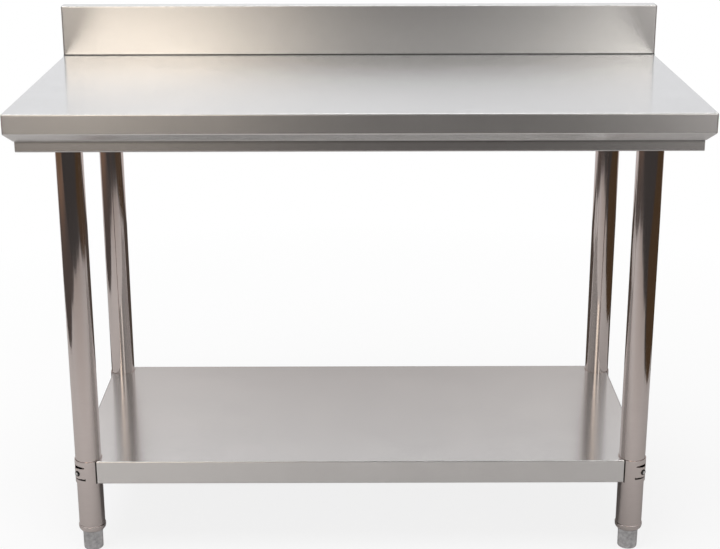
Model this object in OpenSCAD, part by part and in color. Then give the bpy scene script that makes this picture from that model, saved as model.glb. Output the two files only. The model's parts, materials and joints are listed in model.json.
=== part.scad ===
// Free-standing stainless work table: a folded worktop with a rear splashback on a
// channel frame, four tube legs on screw feet, and an undershelf clamped to the legs.
// Millimetres, +Z up, front towards -Y, origin on the floor under the table's middle.

/* [Overall] */
// Width of the worktop, left to right
table_w = 1200; // [900:10:1500]
// Depth of the table, front edge to the back of the splashback
table_d = 600; // [520:10:750]
// Height of the worktop above the floor
work_h = 850; // [780:5:950]

/* [Worktop sheet] */
// Thickness of the worktop sheet
sheet_t = 1.2; // [0.8:0.1:2]
// Inside radius of the folds in the worktop sheet
fold_r = 2; // [1:0.5:4]
// Height of the upright rim
rim_h = 35; // [25:1:50]
// Width and drop of the sloped return under the rim
rim_return = 15; // [8:1:20]
// Radius of the relief notch at each end of the splashback fold
relief_r = 2.5; // [1:0.5:4]

/* [Splashback] */
// Height of the splashback above the worktop
splash_h = 100; // [60:5:150]
// Depth of the splashback, front to back
splash_d = 28; // [20:1:50]
// Height of the hem that hangs at the back of the splashback
splash_hem = 15; // [8:1:30]
// Width of the flange on each splashback end cap
cap_flange = 12; // [8:1:20]

/* [Frame] */
// Thickness of the core board under the worktop sheet
board_t = 16; // [12:1:22]
// Thickness of the rail and stiffener sheet
rail_t = 1.2; // [0.8:0.1:2]
// Inside radius of the folds in the rails, stiffeners and shelf
rail_fold_r = 1.5; // [0.8:0.1:3]
// Width of the rail flanges
rail_flange = 25; // [18:1:35]
// Height of rail that shows below the worktop's return
apron_show = 19.5; // [8:0.5:40]
// Distance of the apron behind the lower edge of the sloped return
apron_set_back = 0; // [0:0.5:8]
// Depth of the hat stiffeners
hat_h = 28; // [15:1:35]
// Inside width of the hat stiffeners
hat_w = 50; // [30:1:80]
// Width of each hat stiffener flange
hat_flange = 20; // [15:1:30]
// Distance of the outer hat stiffeners from the middle
hat_pitch = 280; // [150:5:320]

/* [Legs] */
// Outside diameter of the leg tube
leg_d = 48; // [38:1:60]
// Wall of the leg tube
leg_wall = 1.2; // [1:0.1:2]
// Distance of the leg axes from the worktop's ends
leg_inset_x = 95; // [90:1:150]
// Distance of the leg axes from the front and back of the table
leg_inset_y = 82; // [80:1:120]
// Height of the tube's lower end above the floor
leg_bottom = 52; // [48:1:80]

/* [Leg sockets] */
// Side of the square socket plate
socket_plate = 78; // [76:1:84]
// Thickness of the socket plate
socket_plate_t = 3; // [2:0.5:5]
// Wall of the socket sleeve
socket_wall = 3; // [2:0.5:5]
// Length of the socket sleeve
socket_len = 38; // [25:1:44]
// Diameter of the set screw in each socket
set_screw_d = 8; // [5:1:10]
// Length of the set screw
set_screw_len = 8; // [6:1:14]

/* [Feet] */
// Length of the insert's plug inside the tube
plug_len = 40; // [30:1:60]
// Wall of the insert's plug
plug_wall = 2.5; // [1.5:0.5:5]
// Height of the solid floor in the insert, above the tube's end
plug_floor = 6; // [3:1:15]
// Wall of the threaded boss in the insert
boss_wall = 4; // [2:0.5:6]
// Height of the insert's bell below the tube
bell_h = 12; // [8:1:16]
// Rim that the bell shows outside the tube
bell_lip = 1.25; // [0.5:0.25:3]
// Upper diameter of the foot
foot_top_d = 39; // [30:1:44]
// Lower diameter of the foot
foot_base_d = 36.5; // [28:0.5:42]
// Distance across the flats of the foot
foot_flats = 36; // [26:0.5:42]
// Radius of the edge at the foot's base
foot_edge_r = 4; // [1:0.5:6]
// Diameter of the threaded stud
stud_d = 10; // [8:1:12]
// Length of the stud above the foot
stud_len = 45; // [35:1:60]
// Length of the stud moulded into the foot
stud_root = 26; // [15:1:34]

/* [Undershelf] */
// Height of the shelf surface above the floor
shelf_z = 185; // [150:5:400]
// Height of the shelf's front, back and side lips
shelf_lip = 45; // [30:1:60]
// Width of the return under each lip
shelf_return = 12; // [8:1:20]
// Thickness of the shelf sheet
shelf_t = 1; // [0.8:0.1:1.5]
// Distance of the lip faces outside the leg axes
shelf_over = 20; // [18:0.5:22]

/* [Collars] */
// Wall of the collars
collar_t = 1.5; // [1:0.1:2]
// Half angle that the screw bridge spans on a collar
bridge_angle = 28; // [25:1:40]
// Heading of the screw bridge, from the table's depth towards its end
bridge_turn = 38; // [30:1:60]
// Height of the screw bridge
bridge_h = 20; // [14:1:24]
// Rise of the bridge above the collar
bridge_rise = 3.2; // [3:0.1:6]
// Height of the slit above and below the bridge
slit_h = 3; // [1:0.2:4]
// Diameter of the clamp screw
clamp_d = 5; // [4:1:6]
// Diameter of the clamp screw's head
clamp_head_d = 9; // [7:0.5:11]
// Height of the clamp screw's head
clamp_head_h = 2.4; // [2:0.1:4]
// Thickness of the captive nut
clamp_nut_t = 2.2; // [1.6:0.2:3]
// Side of the square captive nut
clamp_nut_w = 9; // [8:0.5:11]

/* [Frame screws] */
// Shank diameter of the screws into the core board
screw_d = 4; // [3:0.5:5]
// Head diameter of those screws
screw_head_d = 8; // [6:0.5:10]
// Head height of those screws
screw_head_h = 2.6; // [2:0.2:4]
// Depth of the screws in the core board
screw_grip = 10; // [6:1:11]
// Number of screws in the front rail, and in the back rail
rail_screws = 4; // [2:1:6]

/* [Fits] */
// Gap between pieces that seat on one another
seat_gap = 0.2; // [0.1:0.1:0.4]
// Radial gap between a tube or stud and what it slides in
slide_gap = 0.3; // [0.2:0.05:0.5]
// Radial gap round a pressed or screwed piece
fit_gap = 0.1; // [0.05:0.05:0.2]

/* [Hidden] */
$fn = 64;
fold_steps = 4;
eps = 0.5;

half_w = table_w / 2;
half_d = table_d / 2;
front_y = -half_d;
splash_y = half_d - splash_d;
top_z = work_h + splash_h;
rim_z = work_h - rim_h;
return_z = rim_z - rim_return;

board_top = work_h - sheet_t - seat_gap;
board_z = board_top - board_t;
rail_inset = rim_return + sheet_t + seat_gap + apron_set_back;
rail_x = half_w - rail_inset;
rail_front = front_y + rail_inset;
rail_back = half_d - rail_inset;
rail_z = return_z - apron_show;
hat_xs = [-hat_pitch, 0, hat_pitch];
hat_front = rail_front + rail_flange + seat_gap;
hat_back = rail_back - rail_flange - seat_gap;

leg_r = leg_d / 2;
leg_x = half_w - leg_inset_x;
leg_y = half_d - leg_inset_y;
leg_top = board_z - socket_plate_t - seat_gap;
socket_r = leg_r + slide_gap + socket_wall;
socket_z = board_z - socket_plate_t - socket_len;
set_screw_z = socket_z + socket_len / 2;

bell_r = leg_r + bell_lip;
bell_z = leg_bottom - bell_h;
foot_h = bell_z - slide_gap;
foot_r = foot_top_d / 2;
foot_base_r = foot_base_d / 2;
stud_r = stud_d / 2;
stud_bore_r = stud_r + slide_gap;

shelf_x = leg_x + shelf_over;
shelf_y = leg_y + shelf_over;
shelf_foot = shelf_z - shelf_lip;
shelf_hat_x = shelf_x - shelf_t - shelf_return - seat_gap;
shelf_hat_h = min(hat_h, shelf_lip - shelf_t - rail_t - seat_gap);

collar_in = leg_r + slide_gap;
collar_out = collar_in + collar_t;
notch_r = collar_out + seat_gap;
bridge_top = collar_out + bridge_rise;
bridge_foot = collar_out * cos(bridge_angle);
bridge_mid = (pow(bridge_top, 2) - pow(collar_out, 2)) / (2 * (bridge_top - bridge_foot));
bridge_r = bridge_top - bridge_mid;
clamp_z = shelf_z - shelf_lip / 2;
nut_out = bridge_mid + sqrt(pow(bridge_r - collar_t, 2) - pow(clamp_nut_w / 2, 2)) - seat_gap;

// Leg positions: side (left or right) and end (front or back)
FRONT_LEFT = [-1, -1];
FRONT_RIGHT = [1, -1];
BACK_LEFT = [-1, 1];
BACK_RIGHT = [1, 1];
CORNERS = [FRONT_LEFT, FRONT_RIGHT, BACK_LEFT, BACK_RIGHT];

// Screw places under the core board
rail_screw_xs = [for (i = [0:rail_screws - 1])
    (leg_x - socket_plate) * (2 * i / (rail_screws - 1) - 1)];
rail_screw_ys = [rail_front + rail_flange / 2, rail_back - rail_flange / 2];
side_screw_y = leg_y / 2;
side_screw_x = rail_x - rail_flange / 2;
socket_screw = socket_plate / 2 - screw_head_d;
hat_screw_x = hat_w / 2 + rail_t + hat_flange / 2;
hat_screw_y = leg_y / 2 + screw_head_d;
rail_points = [
    for (x = rail_screw_xs, y = rail_screw_ys) [x, y],
    for (s = [-1, 1], y = [-side_screw_y, side_screw_y]) [s * side_screw_x, y]
];
socket_points = [for (c = CORNERS, a = [-1, 1], b = [-1, 1])
    [c[0] * leg_x + a * socket_screw, c[1] * leg_y + b * socket_screw]];
hat_points = [for (x = hat_xs, a = [-1, 1], b = [-1, 1]) [x + a * hat_screw_x, b * hat_screw_y]];

stainless = [0.80, 0.80, 0.79];
polished = [0.70, 0.69, 0.68];
zinc = [0.66, 0.68, 0.70];
board_grey = [0.72, 0.71, 0.68];
nylon_grey = [0.55, 0.55, 0.54];

// Folded sheet: a path of straight runs, its thickness on the right of the way it goes
function heading(path, i) = (path[i + 1] - path[i]) / norm(path[i + 1] - path[i]);
function right_of(v) = [v[1], -v[0]];
function turn(a, b) = atan2(a[0] * b[1] - a[1] * b[0], a * b);
function arc(mid, r, from, sweep) = [for (k = [0:fold_steps])
    mid + r * [cos(from + sweep * k / fold_steps), sin(from + sweep * k / fold_steps)]];

// The arc of one fold on the face at a depth into the sheet: 0 is the show face
function fold_arc(path, i, r, t, depth) =
    let (a = heading(path, i - 1), b = heading(path, i), bend = turn(a, b))
    let (side = bend < 0 ? 1 : -1, show_r = bend < 0 ? r + t : r)
    let (mid = path[i] + side * show_r * right_of(a) - a * show_r * tan(abs(bend) / 2))
    let (spoke = -side * right_of(a))
    arc(mid, show_r - side * depth, atan2(spoke[1], spoke[0]), bend);

function face_points(path, r, t, depth) =
    let (last = len(path) - 1)
    [
        path[0] + depth * right_of(heading(path, 0)),
        for (i = [1:last - 1]) each fold_arc(path, i, r, t, depth),
        path[last] + depth * right_of(heading(path, last - 1))
    ];
function reversed(list) = [for (i = [len(list) - 1:-1:0]) list[i]];

// Section of a sheet folded along a path
module sheet(path, t, r) {
    polygon(concat(face_points(path, r, t, 0), reversed(face_points(path, r, t, t))));
}

// Everything on the inner side of a folded sheet's show face
module inside(path, t, r) {
    polygon(face_points(path, r, t, 0));
}

// Carries a section drawn in Y and Z along X
module along_x(from, to) {
    translate([from, 0, 0])
        rotate([90, 0, 90])
            linear_extrude(to - from)
                children();
}

// Carries a section drawn in X and Z along Y
module along_y(from, to) {
    translate([0, to, 0])
        rotate([90, 0, 0])
            linear_extrude(to - from)
                children();
}

module at_leg(c) {
    translate([c[0] * leg_x, c[1] * leg_y, 0])
        children();
}

// Turns +X to the outer diagonal of a leg
module outward(c) {
    rotate(atan2(c[1], c[0]))
        children();
}

// Turns +X to the heading of a collar's bridge
module bridgeward(c) {
    rotate(atan2(c[1] * cos(bridge_turn), c[0] * sin(bridge_turn)))
        children();
}

module screw_holes(points, z, h, d) {
    for (p = points)
        translate([p[0], p[1], z])
            cylinder(h = h, d = d);
}

// Worktop sheet

worktop_path = [
    [front_y + rim_return, return_z],
    [front_y, rim_z],
    [front_y, work_h],
    [splash_y, work_h],
    [splash_y, top_z],
    [half_d, top_z],
    [half_d, top_z - splash_hem]
];
worktop_front_path = [
    [front_y + rim_return, return_z],
    [front_y, rim_z],
    [front_y, work_h],
    [half_d, work_h],
    [half_d, return_z]
];
worktop_side_path = [
    [-half_w + rim_return, return_z],
    [-half_w, rim_z],
    [-half_w, work_h],
    [half_w, work_h],
    [half_w, rim_z],
    [half_w - rim_return, return_z]
];
side_strip = 2 * (fold_r + sheet_t);
left_rim_path = [for (i = [0:2]) worktop_side_path[i]];

// Rims of the two sides, which run on past the fold of the splashback
module side_rims() {
    for (s = [0, 1])
        mirror([s, 0, 0]) {
            along_y(front_y, splash_y - relief_r)
                sheet(concat(left_rim_path, [[-half_w + side_strip, work_h]]), sheet_t, fold_r);
            along_y(splash_y - relief_r, half_d)
                sheet(left_rim_path, sheet_t, fold_r);
        }
}

module worktop() {
    color(stainless)
    difference() {
        union() {
            intersection() {
                along_x(-half_w, half_w)
                    sheet(worktop_path, sheet_t, fold_r);
                union() {
                    along_y(front_y - eps, splash_y - relief_r)
                        inside(worktop_side_path, sheet_t, fold_r);
                    translate([-half_w, splash_y - relief_r, return_z])
                        cube([table_w, splash_d + relief_r + eps, top_z - return_z + eps]);
                }
            }
            intersection() {
                side_rims();
                along_x(-half_w - eps, half_w + eps)
                    inside(worktop_front_path, sheet_t, fold_r);
            }
        }
        for (s = [-1, 1])
            translate([s * half_w, splash_y - relief_r, work_h - fold_r - 2 * sheet_t])
                cylinder(h = 2 * (fold_r + 2 * sheet_t), r = relief_r);
    }
}

// End cap of the splashback, with a flange along its back edge and its top eased to clear the folds
module splash_cap(side) {
    front = splash_y + sheet_t + seat_gap;
    back = half_d - sheet_t - seat_gap;
    foot = work_h + seat_gap;
    head = top_z - sheet_t - seat_gap;
    path = [[-half_w, front], [-half_w, back], [-half_w + cap_flange, back]];
    color(stainless)
    mirror([side > 0 ? 1 : 0, 0, 0])
        intersection() {
            translate([0, 0, foot])
                linear_extrude(head - foot)
                    sheet(path, sheet_t, rail_fold_r);
            along_x(-half_w - eps, half_w + eps)
                inside([[front, foot], [front, head], [back, head], [back, foot]], 0, fold_r);
        }
}

// Frame under the worktop

// Section of the board between two edges, its upper edges eased to clear the folds
module board_section(from, to) {
    inside([[from, board_z], [from, board_top], [to, board_top], [to, board_z]], 0, fold_r);
}

module core_board() {
    side = half_w - sheet_t - seat_gap;
    end = half_d - sheet_t - seat_gap;
    color(board_grey)
    difference() {
        intersection() {
            along_y(-end, end)
                board_section(-side, side);
            along_x(-side, side)
                board_section(-end, end);
        }
        screw_holes(concat(rail_points, socket_points, hat_points), board_z - eps,
            screw_grip + 2 * eps, screw_d + 2 * fit_gap);
    }
}

// Section of a rail, drawn with its web at zero and its flanges running to plus
module rail_section() {
    path = [[rail_flange, rail_z], [0, rail_z], [0, board_z], [rail_flange, board_z]];
    sheet(path, rail_t, rail_fold_r);
}

// The space that a side rail's web takes beside the flanges of a front or back rail
module web_space() {
    gap = rail_t + seat_gap;
    for (s = [-1, 1])
        translate([s > 0 ? rail_x - gap : -rail_x - eps, rail_t, rail_z - eps])
            cube([gap + eps, rail_flange, board_z - rail_z + 2 * eps]);
}

module long_rail() {
    difference() {
        along_x(-rail_x, rail_x)
            rail_section();
        web_space();
    }
}

module rail_holes() {
    screw_holes(rail_points, board_z - rail_t - eps, rail_t + 2 * eps, screw_d + 2 * slide_gap);
}

module apron_front() {
    color(stainless)
    difference() {
        translate([0, rail_front, 0])
            long_rail();
        rail_holes();
    }
}

module apron_back() {
    color(stainless)
    difference() {
        translate([0, rail_back, 0])
            mirror([0, 1, 0])
                long_rail();
        rail_holes();
    }
}

// Side rail: its web reaches both long rails, and its flanges stop short of theirs
module apron_side(side) {
    gap = rail_t + seat_gap;
    cope = rail_flange + seat_gap - gap;
    from = rail_front + gap;
    to = rail_back - gap;
    color(stainless)
    difference() {
        mirror([side > 0 ? 1 : 0, 0, 0])
            difference() {
                along_y(from, to)
                    translate([-rail_x, 0])
                        rail_section();
                for (y = [from - eps, to - cope])
                    translate([-rail_x + rail_t, y, rail_z - eps])
                        cube([rail_flange, cope + eps, board_z - rail_z + 2 * eps]);
            }
        rail_holes();
    }
}

// Section of a hat channel that hangs below a height
module hat_section(z, depth) {
    half = hat_w / 2;
    edge = half + rail_t + hat_flange;
    path = [[-edge, z], [-half, z], [-half, z - depth], [half, z - depth], [half, z], [edge, z]];
    sheet(path, rail_t, rail_fold_r);
}

module top_stiffener(x) {
    color(zinc)
    difference() {
        along_y(hat_front, hat_back)
            translate([x, 0])
                hat_section(board_z, hat_h);
        screw_holes(hat_points, board_z - rail_t - eps, rail_t + 2 * eps, screw_d + 2 * slide_gap);
    }
}

module leg_socket(c) {
    color(zinc)
    difference() {
        at_leg(c)
            union() {
                translate([-socket_plate / 2, -socket_plate / 2, board_z - socket_plate_t])
                    cube([socket_plate, socket_plate, socket_plate_t]);
                translate([0, 0, socket_z])
                    cylinder(h = socket_len + eps, r = socket_r);
            }
        at_leg(c)
            translate([0, 0, socket_z - eps])
                cylinder(h = socket_len + eps, r = leg_r + slide_gap);
        at_leg(c)
            outward(-c)
                translate([0, 0, set_screw_z])
                    rotate([0, 90, 0])
                        cylinder(h = 2 * socket_r, d = set_screw_d + 2 * fit_gap);
        screw_holes(socket_points, board_z - socket_plate_t - eps, socket_plate_t + 2 * eps,
            screw_d + 2 * slide_gap);
    }
}

// Grub screw on the inner diagonal of each socket, with a hexagon recess
module socket_set_screws() {
    key = set_screw_d / 2;
    recess = set_screw_len / 2;
    color(zinc)
    for (c = CORNERS)
        at_leg(c)
            outward(-c)
                translate([leg_r + fit_gap, 0, set_screw_z])
                    rotate([0, 90, 0])
                        difference() {
                            cylinder(h = set_screw_len, d = set_screw_d);
                            translate([0, 0, set_screw_len - recess])
                                cylinder(h = recess + eps, d = key / cos(30), $fn = 6);
                        }
}

module frame_screw(p, under) {
    translate([p[0], p[1], board_z - under])
        rotate_extrude()
            polygon([
                [0, -screw_head_h],
                [screw_head_d / 4, -screw_head_h],
                [screw_head_d / 2, -screw_head_h / 2],
                [screw_head_d / 2, 0],
                [screw_d / 2, 0],
                [screw_d / 2, under + screw_grip - screw_d / 2],
                [0, under + screw_grip]
            ]);
}

module frame_screws() {
    color(zinc) {
        for (p = concat(rail_points, hat_points))
            frame_screw(p, rail_t);
        for (p = socket_points)
            frame_screw(p, socket_plate_t);
    }
}

// Legs and feet

module leg(c) {
    color(polished)
    at_leg(c)
        difference() {
            translate([0, 0, leg_bottom])
                cylinder(h = leg_top - leg_bottom, r = leg_r);
            translate([0, 0, leg_bottom - eps])
                cylinder(h = leg_top - leg_bottom + 2 * eps, r = leg_r - leg_wall);
        }
}

// Plug pressed into the tube, with a bell that rounds in to the foot below
module foot_insert(c) {
    plug_r = leg_r - leg_wall - fit_gap;
    plug_top = leg_bottom + plug_len;
    lead = plug_wall / 2;
    shoulder_h = bell_h / 3;
    round_h = bell_h - shoulder_h;
    round_w = bell_r - foot_r;
    quarter = [for (k = [0:2 * fold_steps]) 90 * k / (2 * fold_steps)];
    color(polished)
    at_leg(c)
        rotate_extrude()
            polygon(concat(
                [
                    [stud_bore_r, bell_z],
                    [stud_bore_r, plug_top],
                    [stud_bore_r + boss_wall, plug_top],
                    [stud_bore_r + boss_wall, leg_bottom + plug_floor],
                    [plug_r - plug_wall, leg_bottom + plug_floor],
                    [plug_r - plug_wall, plug_top],
                    [plug_r - lead, plug_top],
                    [plug_r, plug_top - lead],
                    [plug_r, leg_bottom - fit_gap],
                    [bell_r - bell_lip / 2, leg_bottom - fit_gap],
                    [bell_r, leg_bottom - fit_gap - bell_lip / 2]
                ],
                [for (a = quarter) [foot_r + round_w * cos(a), bell_z + round_h * (1 - sin(a))]]
            ));
}

// Tapered foot with flats for a spanner, rounded under its base
module foot(c) {
    round_up = [for (k = [0:2 * fold_steps]) -90 + 90 * k / (2 * fold_steps)];
    color(nylon_grey)
    at_leg(c)
    outward(c)
        difference() {
            intersection() {
                rotate_extrude()
                    polygon(concat(
                        [[0, foot_h], [0, 0]],
                        [for (a = round_up)
                            [foot_base_r - foot_edge_r * (1 - cos(a)), foot_edge_r * (1 + sin(a))]],
                        [[foot_r, foot_h]]
                    ));
                union() {
                    translate([0, 0, -eps])
                        cylinder(h = foot_h + 2 * eps, d = foot_flats / cos(30), $fn = 6);
                    translate([0, 0, foot_h - foot_edge_r])
                        cylinder(h = foot_edge_r + eps, r = foot_r + eps);
                }
            }
            translate([0, 0, foot_h - stud_root])
                cylinder(h = stud_root + eps, r = stud_r + fit_gap);
        }
}

module foot_stud(c) {
    lead = stud_r / 4;
    base = foot_h - stud_root + fit_gap;
    tip = foot_h + stud_len;
    color(zinc)
    at_leg(c)
        rotate_extrude()
            polygon([[0, base], [stud_r, base], [stud_r, tip - lead], [stud_r - lead, tip], [0, tip]]);
}

// Undershelf

function shelf_path(half) = [
    [-half + shelf_return, shelf_foot],
    [-half, shelf_foot],
    [-half, shelf_z],
    [half, shelf_z],
    [half, shelf_foot],
    [half - shelf_return, shelf_foot]
];

// The corner that a leg and its collar take out of the shelf
module shelf_notch(c) {
    h = shelf_lip + 2 * eps;
    at_leg(c)
        translate([0, 0, shelf_foot - eps]) {
            cylinder(h = h, r = notch_r);
            translate([c[0] > 0 ? 0 : -notch_r, c[1] > 0 ? 0 : -notch_r, 0])
                cube([notch_r, notch_r, h]);
        }
}

module undershelf() {
    color(stainless)
    difference() {
        union() {
            intersection() {
                along_x(-shelf_x, shelf_x)
                    sheet(shelf_path(shelf_y), shelf_t, rail_fold_r);
                along_y(-shelf_y, shelf_y)
                    inside(shelf_path(shelf_x), shelf_t, rail_fold_r);
            }
            intersection() {
                along_y(-shelf_y, shelf_y)
                    sheet(shelf_path(shelf_x), shelf_t, rail_fold_r);
                along_x(-shelf_x, shelf_x)
                    inside(shelf_path(shelf_y), shelf_t, rail_fold_r);
            }
        }
        for (c = CORNERS)
            shelf_notch(c);
    }
}

module shelf_stiffener() {
    color(zinc)
    along_x(-shelf_hat_x, shelf_hat_x)
        hat_section(shelf_z - shelf_t, shelf_hat_h);
}

// Plan of the bridge, which stands out from the collar along +X
module bridge_plan() {
    intersection() {
        difference() {
            translate([bridge_mid, 0])
                circle(bridge_r);
            translate([bridge_mid, 0])
                circle(bridge_r - collar_t);
        }
        translate([bridge_foot - collar_t, -bridge_r])
            square([bridge_top, 2 * bridge_r]);
    }
}

// Ring round a leg, with a bridge lanced out of it for the clamp screw
module collar(c) {
    window_h = bridge_h + 2 * slit_h;
    reach = 2 * bridge_top;
    color(polished)
    at_leg(c)
        bridgeward(c)
            difference() {
                union() {
                    difference() {
                        translate([0, 0, shelf_foot])
                            cylinder(h = shelf_lip, r = collar_out);
                        translate([0, 0, clamp_z - window_h / 2])
                            linear_extrude(window_h)
                                polygon([[0, 0], reach * [cos(bridge_angle), -sin(bridge_angle)],
                                    reach * [cos(bridge_angle), sin(bridge_angle)]]);
                    }
                    translate([0, 0, clamp_z - bridge_h / 2])
                        linear_extrude(bridge_h)
                            bridge_plan();
                }
                translate([0, 0, shelf_foot - eps])
                    cylinder(h = shelf_lip + 2 * eps, r = collar_in);
                translate([0, 0, clamp_z])
                    rotate([0, 90, 0])
                        cylinder(h = reach, d = clamp_d + 2 * slide_gap);
            }
}

module clamp_nuts() {
    color(zinc)
    for (c = CORNERS)
        at_leg(c)
            bridgeward(c)
                difference() {
                    translate([nut_out - clamp_nut_t, -clamp_nut_w / 2, clamp_z - clamp_nut_w / 2])
                        cube([clamp_nut_t, clamp_nut_w, clamp_nut_w]);
                    translate([0, 0, clamp_z])
                        rotate([0, 90, 0])
                            cylinder(h = 2 * bridge_top, d = clamp_d + 2 * fit_gap);
                }
}

// Pan-head clamp screw with a cross recess, its tip just off the leg
module clamp_screws() {
    seat = bridge_top + seat_gap;
    tip = leg_r + slide_gap;
    dome = clamp_head_h / 3;
    slot_w = clamp_head_d / 6;
    slot_l = clamp_head_d / 2;
    color(zinc)
    for (c = CORNERS)
        at_leg(c)
            bridgeward(c)
                translate([0, 0, clamp_z])
                    rotate([0, 90, 0])
                        difference() {
                            rotate_extrude()
                                polygon([
                                    [0, tip],
                                    [clamp_d / 2, tip],
                                    [clamp_d / 2, seat],
                                    [clamp_head_d / 2, seat],
                                    [clamp_head_d / 2, seat + clamp_head_h - dome],
                                    [clamp_head_d / 2 - dome, seat + clamp_head_h],
                                    [0, seat + clamp_head_h]
                                ]);
                            for (a = [0, 90])
                                rotate(a)
                                    translate([-slot_l / 2, -slot_w / 2, seat + clamp_head_h - dome])
                                        cube([slot_l, slot_w, dome + eps]);
                        }
}

worktop();
splash_cap(-1);  // splash_cap_left
splash_cap(1);  // splash_cap_right
core_board();
apron_front();
apron_back();
apron_side(-1);  // apron_left
apron_side(1);  // apron_right
top_stiffener(hat_xs[0]);  // top_stiffener_left
top_stiffener(hat_xs[1]);  // top_stiffener_middle
top_stiffener(hat_xs[2]);  // top_stiffener_right
leg_socket(FRONT_LEFT);  // leg_socket_front_left
leg_socket(FRONT_RIGHT);  // leg_socket_front_right
leg_socket(BACK_LEFT);  // leg_socket_back_left
leg_socket(BACK_RIGHT);  // leg_socket_back_right
socket_set_screws();
frame_screws();
leg(FRONT_LEFT);  // leg_front_left
leg(FRONT_RIGHT);  // leg_front_right
leg(BACK_LEFT);  // leg_back_left
leg(BACK_RIGHT);  // leg_back_right
foot_insert(FRONT_LEFT);  // foot_insert_front_left
foot_insert(FRONT_RIGHT);  // foot_insert_front_right
foot_insert(BACK_LEFT);  // foot_insert_back_left
foot_insert(BACK_RIGHT);  // foot_insert_back_right
foot(FRONT_LEFT);  // foot_front_left
foot(FRONT_RIGHT);  // foot_front_right
foot(BACK_LEFT);  // foot_back_left
foot(BACK_RIGHT);  // foot_back_right
foot_stud(FRONT_LEFT);  // foot_stud_front_left
foot_stud(FRONT_RIGHT);  // foot_stud_front_right
foot_stud(BACK_LEFT);  // foot_stud_back_left
foot_stud(BACK_RIGHT);  // foot_stud_back_right
undershelf();
shelf_stiffener();
collar(FRONT_LEFT);  // collar_front_left
collar(FRONT_RIGHT);  // collar_front_right
collar(BACK_LEFT);  // collar_back_left
collar(BACK_RIGHT);  // collar_back_right
clamp_nuts();
clamp_screws();
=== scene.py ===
"""Looks of a free-standing stainless work table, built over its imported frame.

Lengths are in metres, +Z is up and the front of the table faces -Y. Sheet pieces are
built as the face that shows, and get their thickness from a wall behind that face.
"""

import json
import logging
import math
from collections.abc import Sequence
from dataclasses import dataclass, field
from enum import Enum

import bpy
import numpy as np
from mathutils import Matrix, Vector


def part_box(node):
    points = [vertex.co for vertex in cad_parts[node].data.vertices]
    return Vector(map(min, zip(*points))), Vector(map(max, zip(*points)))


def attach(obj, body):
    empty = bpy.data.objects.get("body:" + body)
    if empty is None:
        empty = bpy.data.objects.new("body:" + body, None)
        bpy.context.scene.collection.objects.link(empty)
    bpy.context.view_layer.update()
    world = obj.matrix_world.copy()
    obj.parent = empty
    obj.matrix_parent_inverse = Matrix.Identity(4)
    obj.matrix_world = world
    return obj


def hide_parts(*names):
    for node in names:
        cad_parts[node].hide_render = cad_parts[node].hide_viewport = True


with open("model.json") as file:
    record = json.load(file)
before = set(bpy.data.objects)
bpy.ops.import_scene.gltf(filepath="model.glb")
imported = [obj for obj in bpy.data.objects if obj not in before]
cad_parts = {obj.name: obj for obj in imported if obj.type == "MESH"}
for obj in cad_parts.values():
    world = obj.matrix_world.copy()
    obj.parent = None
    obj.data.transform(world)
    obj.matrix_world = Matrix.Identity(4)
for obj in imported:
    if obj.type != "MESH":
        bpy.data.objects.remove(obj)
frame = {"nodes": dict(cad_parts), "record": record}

LOG = logging.getLogger("work_table")
MM = 0.001
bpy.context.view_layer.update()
TABLE_BODY = "table"
SHELF_BODY = "shelf"
GRAIN_MAP = "across_the_grain"
FULL_TURN = 2 * math.pi
QUARTER_TURN = math.pi / 2
# Flat run kept on each side of a fold, so that shading stays even on the flats
LEAD = 0.6 * MM
# Places that are the same when rounded to this become one
WELD = 1e-6
FOLD_STEPS = 8
# Steps across an eased edge, and the turn from which an edge is eased
EDGE_STEPS = 2
EDGE_TURN = math.radians(40)
# Heading of a clamp's bridge and screw, from the table's depth towards its end
BRIDGE_TURN = math.radians(38)

Colour = tuple[float, float, float]
Material = bpy.types.Material
Socket = bpy.types.NodeSocket


class Slot(Enum):
    """The record's material slots."""

    SATIN = "stainless_satin"
    POLISHED = "stainless_polished"
    GALVANISED = "galvanised_steel"
    ZINC = "zinc_fasteners"
    BOARD = "core_board"
    NYLON = "grey_nylon"


class Corner(Enum):
    """The four legs: the name's ending, the side along X and the end along Y."""

    FRONT_LEFT = ("front_left", -1.0, -1.0)
    FRONT_RIGHT = ("front_right", 1.0, -1.0)
    BACK_LEFT = ("back_left", -1.0, 1.0)
    BACK_RIGHT = ("back_right", 1.0, 1.0)

    @property
    def diagonal(self) -> float:
        """Heading of the leg's outer diagonal, in radians."""
        return math.atan2(self.value[2], self.value[1])

    def named(self, stem: str) -> str:
        """A name that ends with this corner."""
        return f"{stem}_{self.value[0]}"

    def centre(self) -> np.ndarray:
        """Place of the leg's axis on the floor."""
        low, high = extent(self.named("leg"))
        return (low[:2] + high[:2]) / 2


def extent(node: str) -> tuple[np.ndarray, np.ndarray]:
    """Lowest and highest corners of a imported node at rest, as arrays."""
    low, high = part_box(node)
    return np.array(low), np.array(high)


def half_width(node: str) -> float:
    """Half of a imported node's width, which is the radius of a round one."""
    low, high = extent(node)
    return (high[0] - low[0]) / 2


def mount_height(name: str) -> float:
    """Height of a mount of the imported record."""
    return next(m["pos_m"][2] for m in frame["record"]["mounts"] if m["name"] == name)


# Surfaces


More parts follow.
